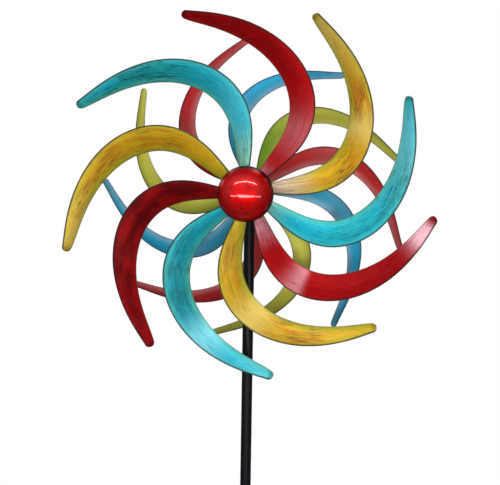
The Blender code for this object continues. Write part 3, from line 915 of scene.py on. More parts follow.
@dataclass
class Stake:
    """The step bar, its two prongs and the spigot that the pole stands on."""

    bar_length: float = 0.150
    bar_depth: float = 0.032
    bar_height: float = 0.006
    prong_radius: float = 0.005
    prong_depth: float = 0.18
    prong_point: float = 0.03
    spigot_radius: float = 0.007
    spigot_height: float = 0.045
    spigot_edge: float = 0.0015
    spigot_rounding: float = 0.0004
    flange_radius: float = 0.014
    flange_height: float = 0.004
    screw_height: float = 0.0281
    prong_rise: float = 0.004
    prong_edge: float = 0.001
    prong_tip: float = 0.0008
    bar_edge: float = 0.0010
    weld_radius: float = 0.0013
    weld_length: float = 0.0047
    weld_gap: float = 0.0005
    weld_bite: float = 0.0002
    weld_slant: float = 0.0006
    foot_weld: Profile = ((-0.0004, 0.0012), (0.0006, 0.0010), (0.0016, -0.0002), (-0.0004, -0.0002))
    foot_weld_ripples: int = 36
    foot_weld_ripple: float = 0.012

    def build(self, shop: Workshop) -> None:
        """Builds the stake and its welds.

        Args:
            shop: the workshop that makes the pieces.
        """
        bar = shop.block(self.bar_length, self.bar_depth, self.bar_height)
        shop.soften(bar, self.bar_edge, 4, 28.0)
        bmesh.ops.translate(bar, vec=(0, 0, self.bar_height / 2), verts=bar.verts)
        shop.piece("step_bar", bar, Finish.BLACK, "root")
        beads = []
        for side, name in ((-1, "prong_left"), (1, "prong_right")):
            self._prong(shop, name, side * (self.bar_length / 2 + GAP + self.prong_radius))
            x = side * (self.bar_length / 2 - self.weld_bite)
            for face in (-1, 1):
                for height in (0.0, self.bar_height):
                    start = Vector((x, face * self.weld_gap, height))
                    end = start + Vector((side * self.weld_slant, face * self.weld_length, 0.0))
                    beads.append(shop.bead(start, end, self.weld_radius, 4))
        self._spigot(shop)
        shop.piece("stake_welds", shop.gather(beads), Finish.BLACK, "root", slot="black_paint")
        self._spigot_weld(shop)

    def _spigot_weld(self, shop: Workshop) -> None:
        """Lays a rippled bead round the foot of the spigot.

        Args:
            shop: the workshop that makes the pieces.
        """
        base = self.bar_height + GAP
        weld = shop.turned([(self.flange_radius + out, base + up) for out, up in self.foot_weld], 144)
        for vert in weld.verts:
            around = math.atan2(vert.co.y, vert.co.x)
            swell = math.sin(around * self.foot_weld_ripples) * (vert.co.z > base)
            grow = 1.0 + self.foot_weld_ripple * swell
            vert.co.x, vert.co.y = vert.co.x * grow, vert.co.y * grow
        shop.piece("spigot_weld", weld, Finish.BLACK, "root", slot="black_paint", sharp=60.0)

    def _prong(self, shop: Workshop, name: str, across: float) -> None:
        """Turns one prong.

        Args:
            shop: the workshop that makes the pieces.
            name: the piece's name.
            across: its distance from the middle, to the right.
        """
        top, low = self.bar_height + self.prong_rise, -self.prong_depth + self.prong_point
        edge = self.prong_edge
        profile = [(0.0, top)] + arc(edge, top - edge, (30, 60, 90), inset=self.prong_radius - edge)
        profile += [(self.prong_radius, low * i / 6) for i in range(1, 7)]
        profile += [(self.prong_tip, -self.prong_depth), (0.0, -self.prong_depth)]
        shape = shop.turned(profile, 64, closed=False)
        shop.piece(name, shape, Finish.BLACK, "root", Matrix.Translation((across, 0.0, 0.0)), sharp=50.0)

    def _spigot(self, shop: Workshop) -> None:
        """Turns the spigot and drills it for its screw.

        Args:
            shop: the workshop that makes the pieces.
        """
        base = self.bar_height + GAP
        top, flange = base + self.spigot_height, base + self.flange_height
        profile = [
            (0.0, top), (self.spigot_radius - self.spigot_edge, top),
            (self.spigot_radius, top - self.spigot_edge), (self.spigot_radius, flange),
            (self.flange_radius, flange), (self.flange_radius, base), (0.0, base),
        ]
        shape = shop.turned(profile, 72, closed=False)
        shop.soften(shape, self.spigot_rounding)
        hole = Matrix.Translation((0.0, POLE_RADIUS, self.screw_height)) @ OUT_OF_BACK
        shape = shop.drill(shape, PIN_HOLE, PIN_HOLE_DEPTH, hole)
        shop.piece("stake_spigot", shape, Finish.BLACK, "root")


@dataclass
class Pole:
    """Three tubes, each swaged into the next, and the screws that pin them."""

    radius: float = POLE_RADIUS
    wall: float = 0.0012
    swage_length: float = 0.035
    cone: float = 0.003
    bottom: float = 0.0106
    lower_joint: float = 0.45
    upper_joint: float = 0.90
    top: float = AXLE_HEIGHT - 0.0105
    swage_gap: float = 0.0004
    row_height: float = 0.03
    edge: float = 0.00025
    screw: PanScrew = PanScrew(0.0034, 0.0022, 0.0015, 0.0055, True)

    def heights(self) -> dict[str, float]:
        """Each screw's name and height.

        Returns:
            The heights by name.
        """
        middle = self.swage_length / 2
        return {
            "stake_screw": self.bottom + middle,
            "lower_joint_screw": self.lower_joint + middle,
            "upper_joint_screw": self.upper_joint + middle,
            "head_screw": AXLE_HEIGHT - HEAD_SCREW_DROP,
        }

    def build(self, shop: Workshop) -> None:
        """Builds the three tubes and the four screws.

        Args:
            shop: the workshop that makes the pieces.
        """
        self._tube(shop, "lower_pole", self.bottom, self.lower_joint, True)
        self._tube(shop, "middle_pole", self.lower_joint + GAP, self.upper_joint, True)
        self._tube(shop, "upper_pole", self.upper_joint + GAP, self.top, False)
        for name in self.heights():
            shop.piece(name, self.screw.shape(shop), Finish.ZINC, "root", self._screw_place(name))

    def _screw_place(self, name: str) -> Matrix:
        """Where a screw's seat is, at the back of the pole."""
        surface = SLEEVE_RADIUS if name == "head_screw" else self.radius
        return Matrix.Translation((0.0, surface + GAP, self.heights()[name])) @ OUT_OF_BACK

    def _tube(self, shop: Workshop, name: str, low: float, high: float, swaged: bool) -> None:
        """Turns one tube and drills it where a screw passes.

        Args:
            shop: the workshop that makes the pieces.
            name: the piece's name.
            low: height of its lower end.
            high: height of its shoulder, or of its upper end.
            swaged: whether its upper end is reduced.
        """
        inner = self.radius - self.wall
        steps = max(2, round((high - low) / self.row_height))
        shoulder = high - self.cone if swaged else high
        outside = [(self.radius, shoulder + (low - shoulder) * i / steps) for i in range(steps + 1)]
        if swaged:
            reduced, top = inner - self.swage_gap, high + self.swage_length
            throat = reduced - self.wall
            profile = [(reduced, top), (reduced, high + GAP)] + outside + [(inner, low)]
            profile += [(inner, high - self.cone - self.wall), (throat, high), (throat, top)]
        else:
            profile = outside + [(inner, low), (inner, high)]
        shape = shop.turned(profile, 80)
        shop.soften(shape, self.edge, 2, 25.0)
        for screw, height in self.heights().items():
            if low < height < high + (self.swage_length if swaged else 0.0):
                shape = shop.drill(shape, PIN_HOLE, PIN_HOLE_DEPTH, self._screw_place(screw))
        shop.piece(name, shape, Finish.BLACK, "root")


# ---------------------------------------------------------------- head and axle


@dataclass
class Head:
    """The cast tee: a sleeve over the pole's top with a barrel across it for the axle."""

    sleeve_radius: float = SLEEVE_RADIUS
    sleeve_bore: float = 0.00895
    sleeve_drop: float = SLEEVE_DROP
    sleeve_rise: float = 0.0038
    sleeve_row: float = -0.012
    sleeve_edge: float = 0.0010
    barrel_edge: float = 0.0008
    barrel_radius: float = 0.0095
    barrel_half: float = BARREL_HALF
    axle_bore: float = AXLE_BORE
    socket_top: float = -0.0102

    def build(self, shop: Workshop) -> None:
        """Builds the tee.

        Args:
            shop: the workshop that makes the pieces.
        """
        profile = [
            (0.0, self.sleeve_rise), (self.sleeve_radius, self.sleeve_rise),
            (self.sleeve_radius, self.sleeve_row), (self.sleeve_radius, -self.sleeve_drop),
            (0.0, -self.sleeve_drop),
        ]
        sleeve = shop.turned(profile, 96, closed=False)
        shop.soften(sleeve, self.sleeve_edge, 4, 50.0)
        barrel = shop.rod(self.barrel_radius, 2 * self.barrel_half, ALONG_AXLE, 96)
        shop.soften(barrel, self.barrel_edge, 4, 50.0)
        tee = shop.combine(sleeve, barrel, Join.UNION)
        socket = up_to(self.socket_top - self.sleeve_drop)
        tee = shop.drill(tee, self.sleeve_bore, 2 * self.sleeve_drop, socket, 96)
        tee = shop.drill(tee, self.axle_bore, 4 * self.barrel_half, ALONG_AXLE, 64)
        pin = Matrix.Translation((0.0, self.sleeve_radius, -HEAD_SCREW_DROP)) @ OUT_OF_BACK
        tee = shop.drill(tee, PIN_HOLE, PIN_HOLE_DEPTH, pin)
        shop.piece("head_tee", tee, Finish.BLACK, "root", up_to(AXLE_HEIGHT))


@dataclass
class AxleLine:
    """The fixed axle with its threaded ends, and the washers, spacers and nuts on it."""

    radius: float = 0.004
    bore: float = AXLE_BORE
    front: float = 0.070
    back: float = -0.076
    chamfer: float = 0.0008
    thread_length: float = 0.014
    thread_pitch: float = 0.00125
    thread_depth: float = 0.0003
    washer_radius: float = 0.009
    washer_thickness: float = 0.0015
    spacer_radius: float = 0.0065
    nut_flats: float = 0.013
    nut_height: float = 0.0065
    nut_chamfer: float = 0.0009
    nut_face_share: float = 0.96
    nut_overhang: float = 0.0003
    dome_share: float = 0.46
    dome_sunk: float = 0.001
    spacer_edge: float = 0.0004
    washer_edge: float = 0.00035
    end_gap: float = 0.0005

    def build(self, shop: Workshop) -> None:
        """Builds the axle and everything on it that doesn't turn.

        Args:
            shop: the workshop that makes the pieces.
        """
        shop.piece("axle", self._rod(shop), Finish.ZINC, "root", ON_AXLE, sharp=60.0)
        for prefix, plane in (("front", FRONT_PLANE), ("rear", REAR_PLANE)):
            place = ON_AXLE @ facing(plane)
            start = BARREL_HALF + GAP
            self._washer(shop, f"{prefix}_inner_washer", start, place)
            start += self.washer_thickness + GAP
            reach = abs(plane) - BOSS_HALF - 2 * GAP - BUSH_FLANGE
            spacer = shop.turned(shop.ring(self.spacer_radius, self.bore, start, reach), 72)
            shop.soften(spacer, self.spacer_edge)
            shop.piece(f"{prefix}_spacer", spacer, Finish.ZINC, "root", place)
            outer = abs(plane) + BOSS_HALF + 2 * GAP + BUSH_FLANGE
            self._washer(shop, f"{prefix}_thrust_washer", outer, place)
            seat = outer + self.washer_thickness + GAP
            nut, name, deep = self._hexagon(shop, seat), "front_lock_nut", 4 * self.nut_height
            if plane < 0:
                nut, name = self._domed(shop, nut, seat), "rear_cap_nut"
                deep = 2 * (abs(self.back) + self.end_gap - seat)
            nut = shop.drill(nut, self.bore, deep, up_to(seat), 48)
            shop.piece(name, nut, Finish.ZINC, "root", place, sharp=25.0)

    def _rod(self, shop: Workshop) -> Shape:
        """The axle, with a rolled thread at each end.

        Args:
            shop: the workshop that makes the pieces.

        Returns:
            The axle, along Z.
        """
        edge, floor = self.radius - self.chamfer, self.radius - self.thread_depth
        profile = [(0.0, self.front), (edge, self.front), (self.radius, self.front - self.chamfer)]
        count, half = int(self.thread_length / self.thread_pitch), self.thread_pitch / 2
        for i in range(count):
            height = self.front - self.chamfer - (i + 0.5) * self.thread_pitch
            profile += [(floor, height), (self.radius, height - half)]
        for i in reversed(range(count)):
            height = self.back + self.chamfer + (i + 0.5) * self.thread_pitch
            profile += [(self.radius, height + half), (floor, height)]
        profile += [(self.radius, self.back + self.chamfer), (edge, self.back), (0.0, self.back)]
        return shop.turned(profile, 48, closed=False)

    def _washer(self, shop: Workshop, name: str, start: float, place: Matrix) -> None:
        """A flat washer with punched, slightly rolled edges.

        Args:
            shop: the workshop that makes the pieces.
            name: the piece's name.
            start: its distance from the pole.
            place: its place.
        """
        ring = shop.ring(self.washer_radius, self.bore, start, start + self.washer_thickness)
        washer = shop.turned(ring, 80)
        shop.soften(washer, self.washer_edge)
        shop.piece(name, washer, Finish.ZINC, "root", place)

    def _hexagon(self, shop: Workshop, seat: float) -> Shape:
        """A hexagon whose corners are turned away by a chamfer at both faces.

        Args:
            shop: the workshop that makes the pieces.
            seat: height of the face it stands on.

        Returns:
            The hexagon.
        """
        corner, top = self.nut_flats / math.sqrt(3), seat + self.nut_height
        block = shop.rod(corner, self.nut_height, up_to(seat + self.nut_height / 2), 6)
        flat, outside = self.nut_flats / 2 * self.nut_face_share, corner + self.nut_overhang
        turned = [
            (0.0, top), (flat, top), (outside, top - self.nut_chamfer),
            (outside, seat + self.nut_chamfer), (flat, seat), (0.0, seat),
        ]
        return shop.combine(block, shop.turned(turned, 96, closed=False), Join.CROSS)

    def _domed(self, shop: Workshop, nut: Shape, seat: float) -> Shape:
        """Adds the cap nut's dome to its hexagon.

        Args:
            shop: the workshop that makes the pieces.
            nut: the hexagon, which is used up.
            seat: height of the face it stands on.

        Returns:
            The nut with its dome.
        """
        radius, top = self.nut_flats * self.dome_share, seat + self.nut_height
        foot = top - self.dome_sunk
        dome = arc(radius, top, range(0, 91, 6)) + [(radius, foot), (0.0, foot)]
        return shop.combine(nut, shop.turned(dome, 64, closed=False), Join.UNION)


# ---------------------------------------------------------------- blades


@dataclass(frozen=True)
class Bow:
    """A value that goes from root to tip, bowed in between and leaned towards one end."""

    root: float
    tip: float
    bow: float
    lean: float

    def at(self, t: float) -> float:
        """The value at t, 0 at the root and 1 at the tip."""
        return self.root + (self.tip - self.root) * t + t * (1 - t) * (self.bow + self.lean * (1 - 2 * t))


@dataclass(frozen=True)
class Band:
    """A soft band across the blade, such as a painted highlight, painted shade or a worked stretch."""

    place: float
    spread: float
    strength: float
    fall: float = 0.0

    def at(self, t: float) -> float:
        """The band's strength at t. A fall is its spread on the tip's side, where that is shorter."""
        spread = self.fall if self.fall and t > self.place else self.spread
        return self.strength * math.exp(-(((t - self.place) / spread) ** 2))


@dataclass(frozen=True)
class Bend:
    """How one blade, bent and set by hand, departs from the pattern.

    The turn is in degrees, and the reach and the sweep are in hundredths.
    """

    turn: float = 0.0
    reach: float = 0.0
    sweep: float = 0.0


@dataclass(frozen=True)
class Coat:
    """How one blade was painted by hand: its bare root, worked bands, and painted highlight and shade bands.
    """

    seed: float
    bare: float = 0.12
    bare_strength: float = 1.0
    painted_highlight: tuple[Band, ...] = ()
    deep: tuple[Band, ...] = ()
    worked: tuple[Band, ...] = ()


@dataclass(frozen=True)
class BladeForm:
    """The bent sickle blade of one rotor: the run of its centre line, its width and its twist."""

    radius: Bow
    angle: Bow
    forward: Bow
    half_width: Bow
    pitch: Bow
    direction: int
    bend: Bend = Bend()
    camber: float = 0.06
    tip_rounding: float = 0.035
    tip_stub: float = 0.3
    sheet: float = 0.0012

    def centre(self, t: float) -> Vector:
        """A point on the centre line.

        Args:
            t: 0 at the root to 1 at the tip.

        Returns:
            The point.
        """
        root = self.radius.root
        radius = root + (self.radius.at(t) - root) * (1 + self.bend.reach / 100)
        angle = math.radians(self.angle.at(t)) * (1 + self.bend.sweep / 100) * self.direction
        return Vector((radius * math.cos(angle), radius * math.sin(angle), self.forward.at(t)))

    def half(self, t: float) -> float:
        """Half the width."""
        past = min(1.0, max(0.0, (t - (1 - self.tip_rounding)) / self.tip_rounding))
        return self.half_width.at(t) * (self.tip_stub + (1 - self.tip_stub) * math.sqrt(1 - past * past))

    def ways(self, t: float) -> tuple[Vector, Vector]:
        """The directions across the sheet and out of its face.

        Args:
            t: 0 at the root to 1 at the tip.

        Returns:
            The two directions.
        """
        step = 0.001
        ahead = self.centre(t + step) - self.centre(t - step)
        run = Vector((ahead.x, ahead.y, 0.0)).normalized()
        outward = Vector((run.y, -run.x, 0.0)) * self.direction
        pitch = math.radians(self.pitch.at(t))
        across = outward * math.cos(pitch) + Vector((0.0, 0.0, math.sin(pitch)))
        return across, Vector((0.0, 0.0, math.cos(pitch))) - outward * math.sin(pitch)

    def point(self, t: float, side: float) -> Vector:
        """A point of the sheet. Side runs from -1 on the hollow edge to 1 on the outer edge.

        Args:
            t: 0 at the root to 1 at the tip.
            side: -1 on the hollow edge to 1 on the outer edge.

        Returns:
            The point.
        """
        across, face = self.ways(t)
        half = self.half(t)
        return self.centre(t) + across * half * side + face * (self.camber * 2 * half * (1 - side * side))

    def rows(self, count: int) -> list[float]:
        """Places of the mesh's rows, closer together where the tip is rounded.

        Args:
            count: steps up to the rounding.

        Returns:
            The rows' places.
        """
        body = [(1 - self.tip_rounding) * i / count for i in range(count + 1)]
        turns = [math.radians(angle) for angle in (12, 24, 36, 48, 60, 70, 80, 90)]
        return body + [1 - self.tip_rounding * (1 - math.sin(turn)) for turn in turns]

    def length(self, t: float) -> float:
        """Length of the centre line from the root to t.

        Args:
            t: 0 at the root to 1 at the tip.

        Returns:
            The length in metres.
        """
        steps = 48
        spots = [self.centre(t * i / steps) for i in range(steps + 1)]
        return sum((b - a).length for a, b in zip(spots, spots[1:]))


@dataclass
class Rotor:
    """One rotor: its hub, its two bushes and its nine blades with their welds."""

    prefix: str
    body: str
    form: BladeForm
    first_blade: float
    hand_set: tuple[Bend, ...]
    finishes: tuple[Finish, ...]
    coats: tuple[Coat, ...]
    rows: int = 96
    columns: int = 14
    boss_radius: float = 0.014
    boss_half: float = BOSS_HALF
    web_half: float = 0.0025
    hub_bore: float = 0.0070
    axle_bore: float = AXLE_BORE
    bush_radius: float = 0.0067
    bush_flange: float = 0.009
    flange_thickness: float = BUSH_FLANGE
    bush_length: float = 0.009
    screw_circle: float = 0.022
    screw_hole: float = 0.0024
    screw_hole_depth: float = 0.2
    rim_gap: float = 0.0005
    hub_edge: float = 0.0007
    bush_edge: float = 0.0003
    screw: PanScrew = PanScrew(0.0038, 0.0026, 0.002, 0.009, False)
    dent: float = 0.0003
    dents_along: float = 26.0
    dents_across: float = 55.0
    sheet_edge: float = 0.0003
    weld_radius: float = 0.0014
    weld_lift: float = 0.0013
    weld_place: float = 0.004
    weld_reach: float = 0.82

    @property
    def plane(self) -> float:
        """Distance of the hub's middle in front of the pole."""
        return self.form.forward.root

    def build(self, shop: Workshop) -> None:
        """Builds the hub, bushes, blades and welds.

        Args:
            shop: the workshop that makes the pieces.
        """
        self._hub(shop)
        self._bushes(shop)
        beads = []
        for number in range(len(self.coats)):
            step = self.form.direction * number * 360.0 / len(self.coats)
            turn = math.radians(self.first_blade + step + self.hand_set[number].turn)
            place = ON_AXLE @ Matrix.Rotation(turn, 4, "Z")
            self._blade(shop, number, place)
            beads += self._beads(shop, place)
        name = f"{self.prefix}_hub_welds"
        shop.piece(name, shop.gather(beads), Finish.WELD, self.body, slot="cast_alloy", sharp=70.0)

    def _hub(self, shop: Workshop) -> None:
        """Turns the hub: a boss with a disc round its middle, drilled for its screws.

        Args:
            shop: the workshop that makes the pieces.
        """
        rim = self.form.radius.root - self.rim_gap
        low, high = self.plane - self.boss_half, self.plane + self.boss_half
        front, back = self.plane + self.web_half, self.plane - self.web_half
        profile = [
            (self.boss_radius, high), (self.boss_radius, front), (rim, front), (rim, back),
            (self.boss_radius, back), (self.boss_radius, low), (self.hub_bore, low), (self.hub_bore, high),
        ]
        shape = shop.turned(profile, 120)
        shop.soften(shape, self.hub_edge, 4)
        shape = self.drilled(shop, shape, Matrix.Identity(4))
        shop.piece(f"{self.prefix}_hub", shape, Finish.ALLOY, self.body, ON_AXLE)

    def _bushes(self, shop: Workshop) -> None:
        """Turns the two flanged bushes.

        Args:
            shop: the workshop that makes the pieces.
        """
        face = self.boss_half + GAP
        high, low = face + self.flange_thickness, face - self.bush_length
        profile = [
            (self.bush_flange, high), (self.bush_flange, face), (self.bush_radius, face),
            (self.bush_radius, low), (self.axle_bore, low), (self.axle_bore, high),
        ]
        for side, end in ((1, "outer"), (-1, "inner")):
            place = ON_AXLE @ up_to(self.plane) @ facing(side * self.form.direction)
            shape = shop.turned(profile, 80)
            shop.soften(shape, self.bush_edge)
            shop.piece(f"{self.prefix}_bush_{end}", shape, Finish.BRONZE, self.body, place)

    def screw_places(self, seat: float) -> list[Matrix]:
        """Places of the three hub screws, in the rotor's axes.

        Args:
            seat: the heads' distance from the pole.

        Returns:
            The three places.
        """
        return [
            facing(self.form.direction) @ Matrix.Rotation(2 * math.pi * (i + 0.5) / 3, 4, "Z")
            @ Matrix.Translation((self.screw_circle, 0.0, seat + GAP))
            for i in range(3)
        ]

    def drilled(self, shop: Workshop, shape: Shape, turn: Matrix) -> Shape:
        """Drills the hub screws' holes right through a shape, whose axes the turn leads to.

        Args:
            shop: the workshop that makes the pieces.
            shape: the shape, which is used up.
            turn: leads from the rotor's axes to the shape's.

        Returns:
            The drilled shape.
        """
        for matrix in self.screw_places(0.0):
            shape = shop.drill(shape, self.screw_hole, self.screw_hole_depth, turn @ matrix)
        return shape

    def screws(self, shop: Workshop, prefix: str, seat: float, length: float) -> None:
        """Builds the three hub screws.

        Args:
            shop: the workshop that makes the pieces.
            prefix: the start of their names.
            seat: the heads' distance from the pole.
            length: the shanks' length.
        """
        screw = replace(self.screw, shank_length=length)
        for number, matrix in enumerate(self.screw_places(seat)):
            name = f"{prefix}_screw_{number + 1}"
            shop.piece(name, screw.shape(shop), Finish.ZINC, self.body, ON_AXLE @ matrix)

    def _blade(self, shop: Workshop, number: int, place: Matrix) -> None:
        """Bends one blade and stores on its points what its lacquer reads.

        Args:
            shop: where it is made.
            number: the blade, from 0.
            place: its place.
        """
        form, coat = replace(self.form, bend=self.hand_set[number]), self.coats[number]
        rows = form.rows(self.rows)
        lengths = [form.length(t) for t in rows]
        shape = bmesh.new()
        bmesh.ops.create_grid(shape, x_segments=len(rows) - 1, y_segments=self.columns, size=1.0)
        names = ("along", "across", "outer", "hollow", "tip", "seed", "bare", "painted_highlight", "shade", "worked")
        layers = {name: shape.verts.layers.float.new(name) for name in names}
        for vert in shape.verts:
            row = round((vert.co.x + 1) / 2 * (len(rows) - 1))
            t, side, half = rows[row], vert.co.y, form.half(rows[row])
            _, face = form.ways(t)
            spot = form.point(t, side)
            where = (lengths[row] * self.dents_along, side * half * self.dents_across, coat.seed)
            dent = noise.noise(Vector(where))
            vert.co = spot + face * dent * self.dent
            numbers = {
                "along": lengths[row],
                "across": side * half,
                "outer": (1 - side) * half,
                "hollow": (1 + side) * half,
                "tip": lengths[-1] - lengths[row],
                "seed": coat.seed * 7.0,
                "bare": coat.bare_strength * max(0.0, 1 - t / (2 * coat.bare)),
                # Painted highlight and painted shade, laid along the blade in bands.
                "painted_highlight": sum(band.at(t) for band in coat.painted_highlight),
                "shade": min(1.0, sum(band.at(t) for band in coat.deep)),
                "worked": sum(band.at(t) for band in coat.worked),
            }
            for name, layer in layers.items():
                vert[layer] = numbers[name]
        name = f"{self.prefix}_blade_{number + 1}"
        finish = self.finishes[number % len(self.finishes)]
        blade = shop.piece(name, shape, finish, self.body, place, sharp=50.0)
        sheet = blade.modifiers.new("sheet", "SOLIDIFY")
        sheet.thickness, sheet.offset, sheet.use_even_offset = form.sheet, 0.0, True
        edge = blade.modifiers.new("edge", "BEVEL")
        edge.width, edge.segments, edge.limit_method = self.sheet_edge, 2, "ANGLE"
        edge.angle_limit = math.radians(55)

    def _beads(self, shop: Workshop, place: Matrix) -> list[Shape]:
        """The weld beads on both faces of one blade's root.

        Args:
            shop: the workshop that makes the pieces.
            place: the blade's place.

        Returns:
            The beads.
        """
        made = []
        _, face = self.form.ways(0.0)
        ends = [self.form.point(self.weld_place, side) for side in (-self.weld_reach, self.weld_reach)]
        for side in (-1, 1):
            lift = face * side * self.weld_lift
            bead = shop.bead(ends[0] + lift, ends[1] + lift, self.weld_radius, 9)
            bmesh.ops.transform(bead, matrix=place, verts=bead.verts)
            made.append(bead)
        return made


@dataclass
class Ball:
    """The hollow ball over the front hub, and the seat that holds it."""

    radius: float = 0.0437
    centre: float = 0.072
    wall: float = 0.0015
    seat_radius: float = 0.0385
    seat_front: float = 0.0510
    seat_thickness: float = 0.0015
    collar_outer: float = 0.0360
    collar_inner: float = 0.0345
    collar_height: float = 0.004
    seat_bore: float = 0.0143
    seat_edge: float = 0.0003
    ripple: float = 0.00009
    ripple_fade: float = 0.014

    def build(self, shop: Workshop, rotor: Rotor) -> None:
        """Builds the seat, the ball and the seat's screws.

        Args:
            shop: the workshop that makes the pieces.
            rotor: the rotor it rides with.
        """
        back, collar = self.seat_front - self.seat_thickness, self.seat_front + self.collar_height
        profile = [
            (self.collar_outer, collar), (self.collar_outer, self.seat_front),
            (self.seat_radius, self.seat_front), (self.seat_radius, back), (self.seat_bore, back),
            (self.seat_bore, self.seat_front), (self.collar_inner, self.seat_front),
            (self.collar_inner, collar),
        ]
        seat = shop.turned(profile, 120)
        shop.soften(seat, self.seat_edge)
        seat = rotor.drilled(shop, seat, Matrix.Identity(4))
        shop.piece("ball_seat", seat, Finish.BLACK, rotor.body, ON_AXLE)
        mouth = 180.0 - math.degrees(math.acos((self.centre - self.seat_front - GAP) / self.radius))
        angles = [mouth * i / 96 for i in range(97)]
        outer = arc(self.radius, self.centre, angles)
        inner = arc(self.radius - self.wall, self.centre, reversed(angles))
        ball = shop.turned(outer + inner, 160, closed=False)
        for vert in ball.verts:
            spoke = vert.co - Vector((0.0, 0.0, self.centre))
            if spoke.length > self.radius - self.wall / 2:
                share = min(1.0, max(0.0, spoke.z / self.ripple_fade))
                vert.co -= spoke.normalized() * share * self.ripple * (1.0 + noise.noise(vert.co * 130))
        shop.piece("ball", ball, Finish.BALL, rotor.body, ON_AXLE)
        rotor.screws(shop, "ball_seat", self.seat_front, self.seat_front - rotor.plane + rotor.web_half)


@dataclass
class RearCover:
    """The plate that closes the rear hub's back."""

    thickness: float = 0.0015
    inset: float = 0.0025
    edge: float = 0.0004

    def build(self, shop: Workshop, rotor: Rotor) -> None:
        """Builds the plate and its screws.

        Args:
            shop: the workshop that makes the pieces.
            rotor: the rotor it rides with.
        """
        low = abs(rotor.plane) + rotor.web_half + GAP
        high = low + self.thickness
        outer = rotor.form.radius.root - self.inset
        plate = shop.turned(shop.ring(outer, rotor.boss_radius + GAP, low, high), 120)
        shop.soften(plate, self.edge)
        plate = rotor.drilled(shop, plate, BACK_FACING.inverted())
        shop.piece("rear_cover_plate", plate, Finish.BLACK, rotor.body, ON_AXLE @ BACK_FACING)
        rotor.screws(shop, "rear_cover", high, self.thickness + 2 * rotor.web_half)


def front_rotor() -> Rotor:
    """The larger rotor, in front of the pole.

    Returns:
        The rotor, with each blade's own brushwork, painted highlights and painted shade.
    """
    form = BladeForm(
        radius=Bow(0.034, 0.296, 0.176, 0.007), angle=Bow(0.0, 58.4, -34.5, -74.8),
        forward=Bow(FRONT_PLANE, 0.0658, -0.022, 0.0), half_width=Bow(0.0081, 0.0073, 0.0556, 0.0287),
        pitch=Bow(20.0, 40.0, -13.7, 0.0), direction=1,
    )
    # Each coat: seed, bare root and its strength, painted highlight bands, painted shade bands (on a few only
    # at the tip) and worked bands.
    coats = (
        Coat(1.0, 0.14, 1.0, (Band(0.485, 0.05, 0.65), Band(0.86, 0.16, 0.45)), (Band(1.0, 0.03, 0.25),),
             (Band(0.30, 0.10, 0.9), Band(0.575, 0.065, 1.5))),
        Coat(2.0, 0.05, 0.7, (Band(0.22, 0.09, 0.18),), (Band(0.80, 0.22, 0.35),), (Band(0.6, 0.3, 0.5),)),
        Coat(3.0, 0.14, 0.9, (Band(0.25, 0.12, 0.15),), (Band(0.76, 0.10, 0.2),), (Band(0.70, 0.22, 1.3),)),
        Coat(4.0, 0.06, 0.3, (Band(0.88, 0.18, 0.3),), (Band(0.88, 0.16, 0.2),),
             (Band(0.42, 0.24, 0.75), Band(0.74, 0.12, 0.5))),
        Coat(5.0, 0.04, 0.5, (), (Band(0.4, 0.9, 0.85),), (Band(0.5, 0.5, 0.6),)),
        Coat(6.0, 0.03, 0.3, (Band(0.64, 0.07, 0.70), Band(0.9, 0.15, 0.2)), (Band(0.38, 0.2, 0.7),),
             (Band(0.35, 0.22, 0.8),)),
        Coat(7.0, 0.05, 0.4, (Band(0.45, 0.07, 0.65), Band(0.75, 0.15, 0.1)), (Band(0.17, 0.15, 0.42),),
             (Band(0.20, 0.14, 0.7), Band(0.62, 0.09, 1.2))),
        Coat(8.0, 0.10, 1.0, (Band(0.335, 0.055, 0.44, 0.018), Band(0.864, 0.058, 1.9)),
             (Band(0.6, 0.2, 0.3),), (Band(0.55, 0.2, 0.5),)),
        Coat(9.0, 0.09, 0.7, (Band(0.76, 0.16, 0.4),), (), (Band(0.35, 0.15, 0.5), Band(0.62, 0.11, 1.5))),
    )
    bends = (
        Bend(-3.5, 0, -1), Bend(-3.5, 0, 0), Bend(2, 1, -4), Bend(7.5, 2, -5), Bend(5.5, -4, -1),
        Bend(4.5, -2, 1), Bend(2.5, -2, -2), Bend(0.5, 0, -1), Bend(-4, -1, 3),
    )
    finishes = (Finish.YELLOW, Finish.RED, Finish.CYAN)
    return Rotor("front", "front_rotor", form, 15.6, bends, finishes, coats)


def rear_rotor() -> Rotor:
    """The smaller rotor, behind the pole, whose blades sweep the other way.

    Returns:
        The rotor.
    """
    form = BladeForm(
        radius=Bow(0.030, 0.256, 0.111, 0.036), angle=Bow(0.0, 60.7, -31.8, -55.0),
        forward=Bow(REAR_PLANE, -0.0938, 0.0407, 0.0), half_width=Bow(0.0065, 0.0054, 0.0310, 0.0307),
        pitch=Bow(-14.5, -10.2, -3.3, 0.0), direction=-1,
    )
    roots = (0.15, 0.9, 0.9, 1.0, 0.9, 0.9, 0.15, 0.9, 0.9)
    # Painted shade on the upper blades, each blade also darkening towards its tip, and a painted highlight
    # band at 0.35 on each.
    painted_shades = (0.0, 0.2, 0.15, 0.35, 0.0, 0.0, 0.0, 0.0, 0.0)
    coats = tuple(
        Coat(
            11.0 + i, 0.25, root, (Band(0.35, 0.1, 0.3),), (Band(0.5, 0.5, depth), Band(0.95, 0.22, 0.4))
        )
        for i, (root, depth) in enumerate(zip(roots, painted_shades))
    )
    bends = (
        Bend(1.5, -3, -2), Bend(-4.5, -1, 1), Bend(-7.5, -8, -6), Bend(-6.5, -5, -2), Bend(-3.5, 2, -9),
        Bend(1.5, 3, -4), Bend(0.5, -1, 5), Bend(-2, 3, -6), Bend(-1, 0, -3),
    )
    finishes = (Finish.OLIVE, Finish.DULL_RED, Finish.BLUE)
    return Rotor("rear", "rear_rotor", form, 197.2, bends, finishes, coats, rows=80, columns=12)


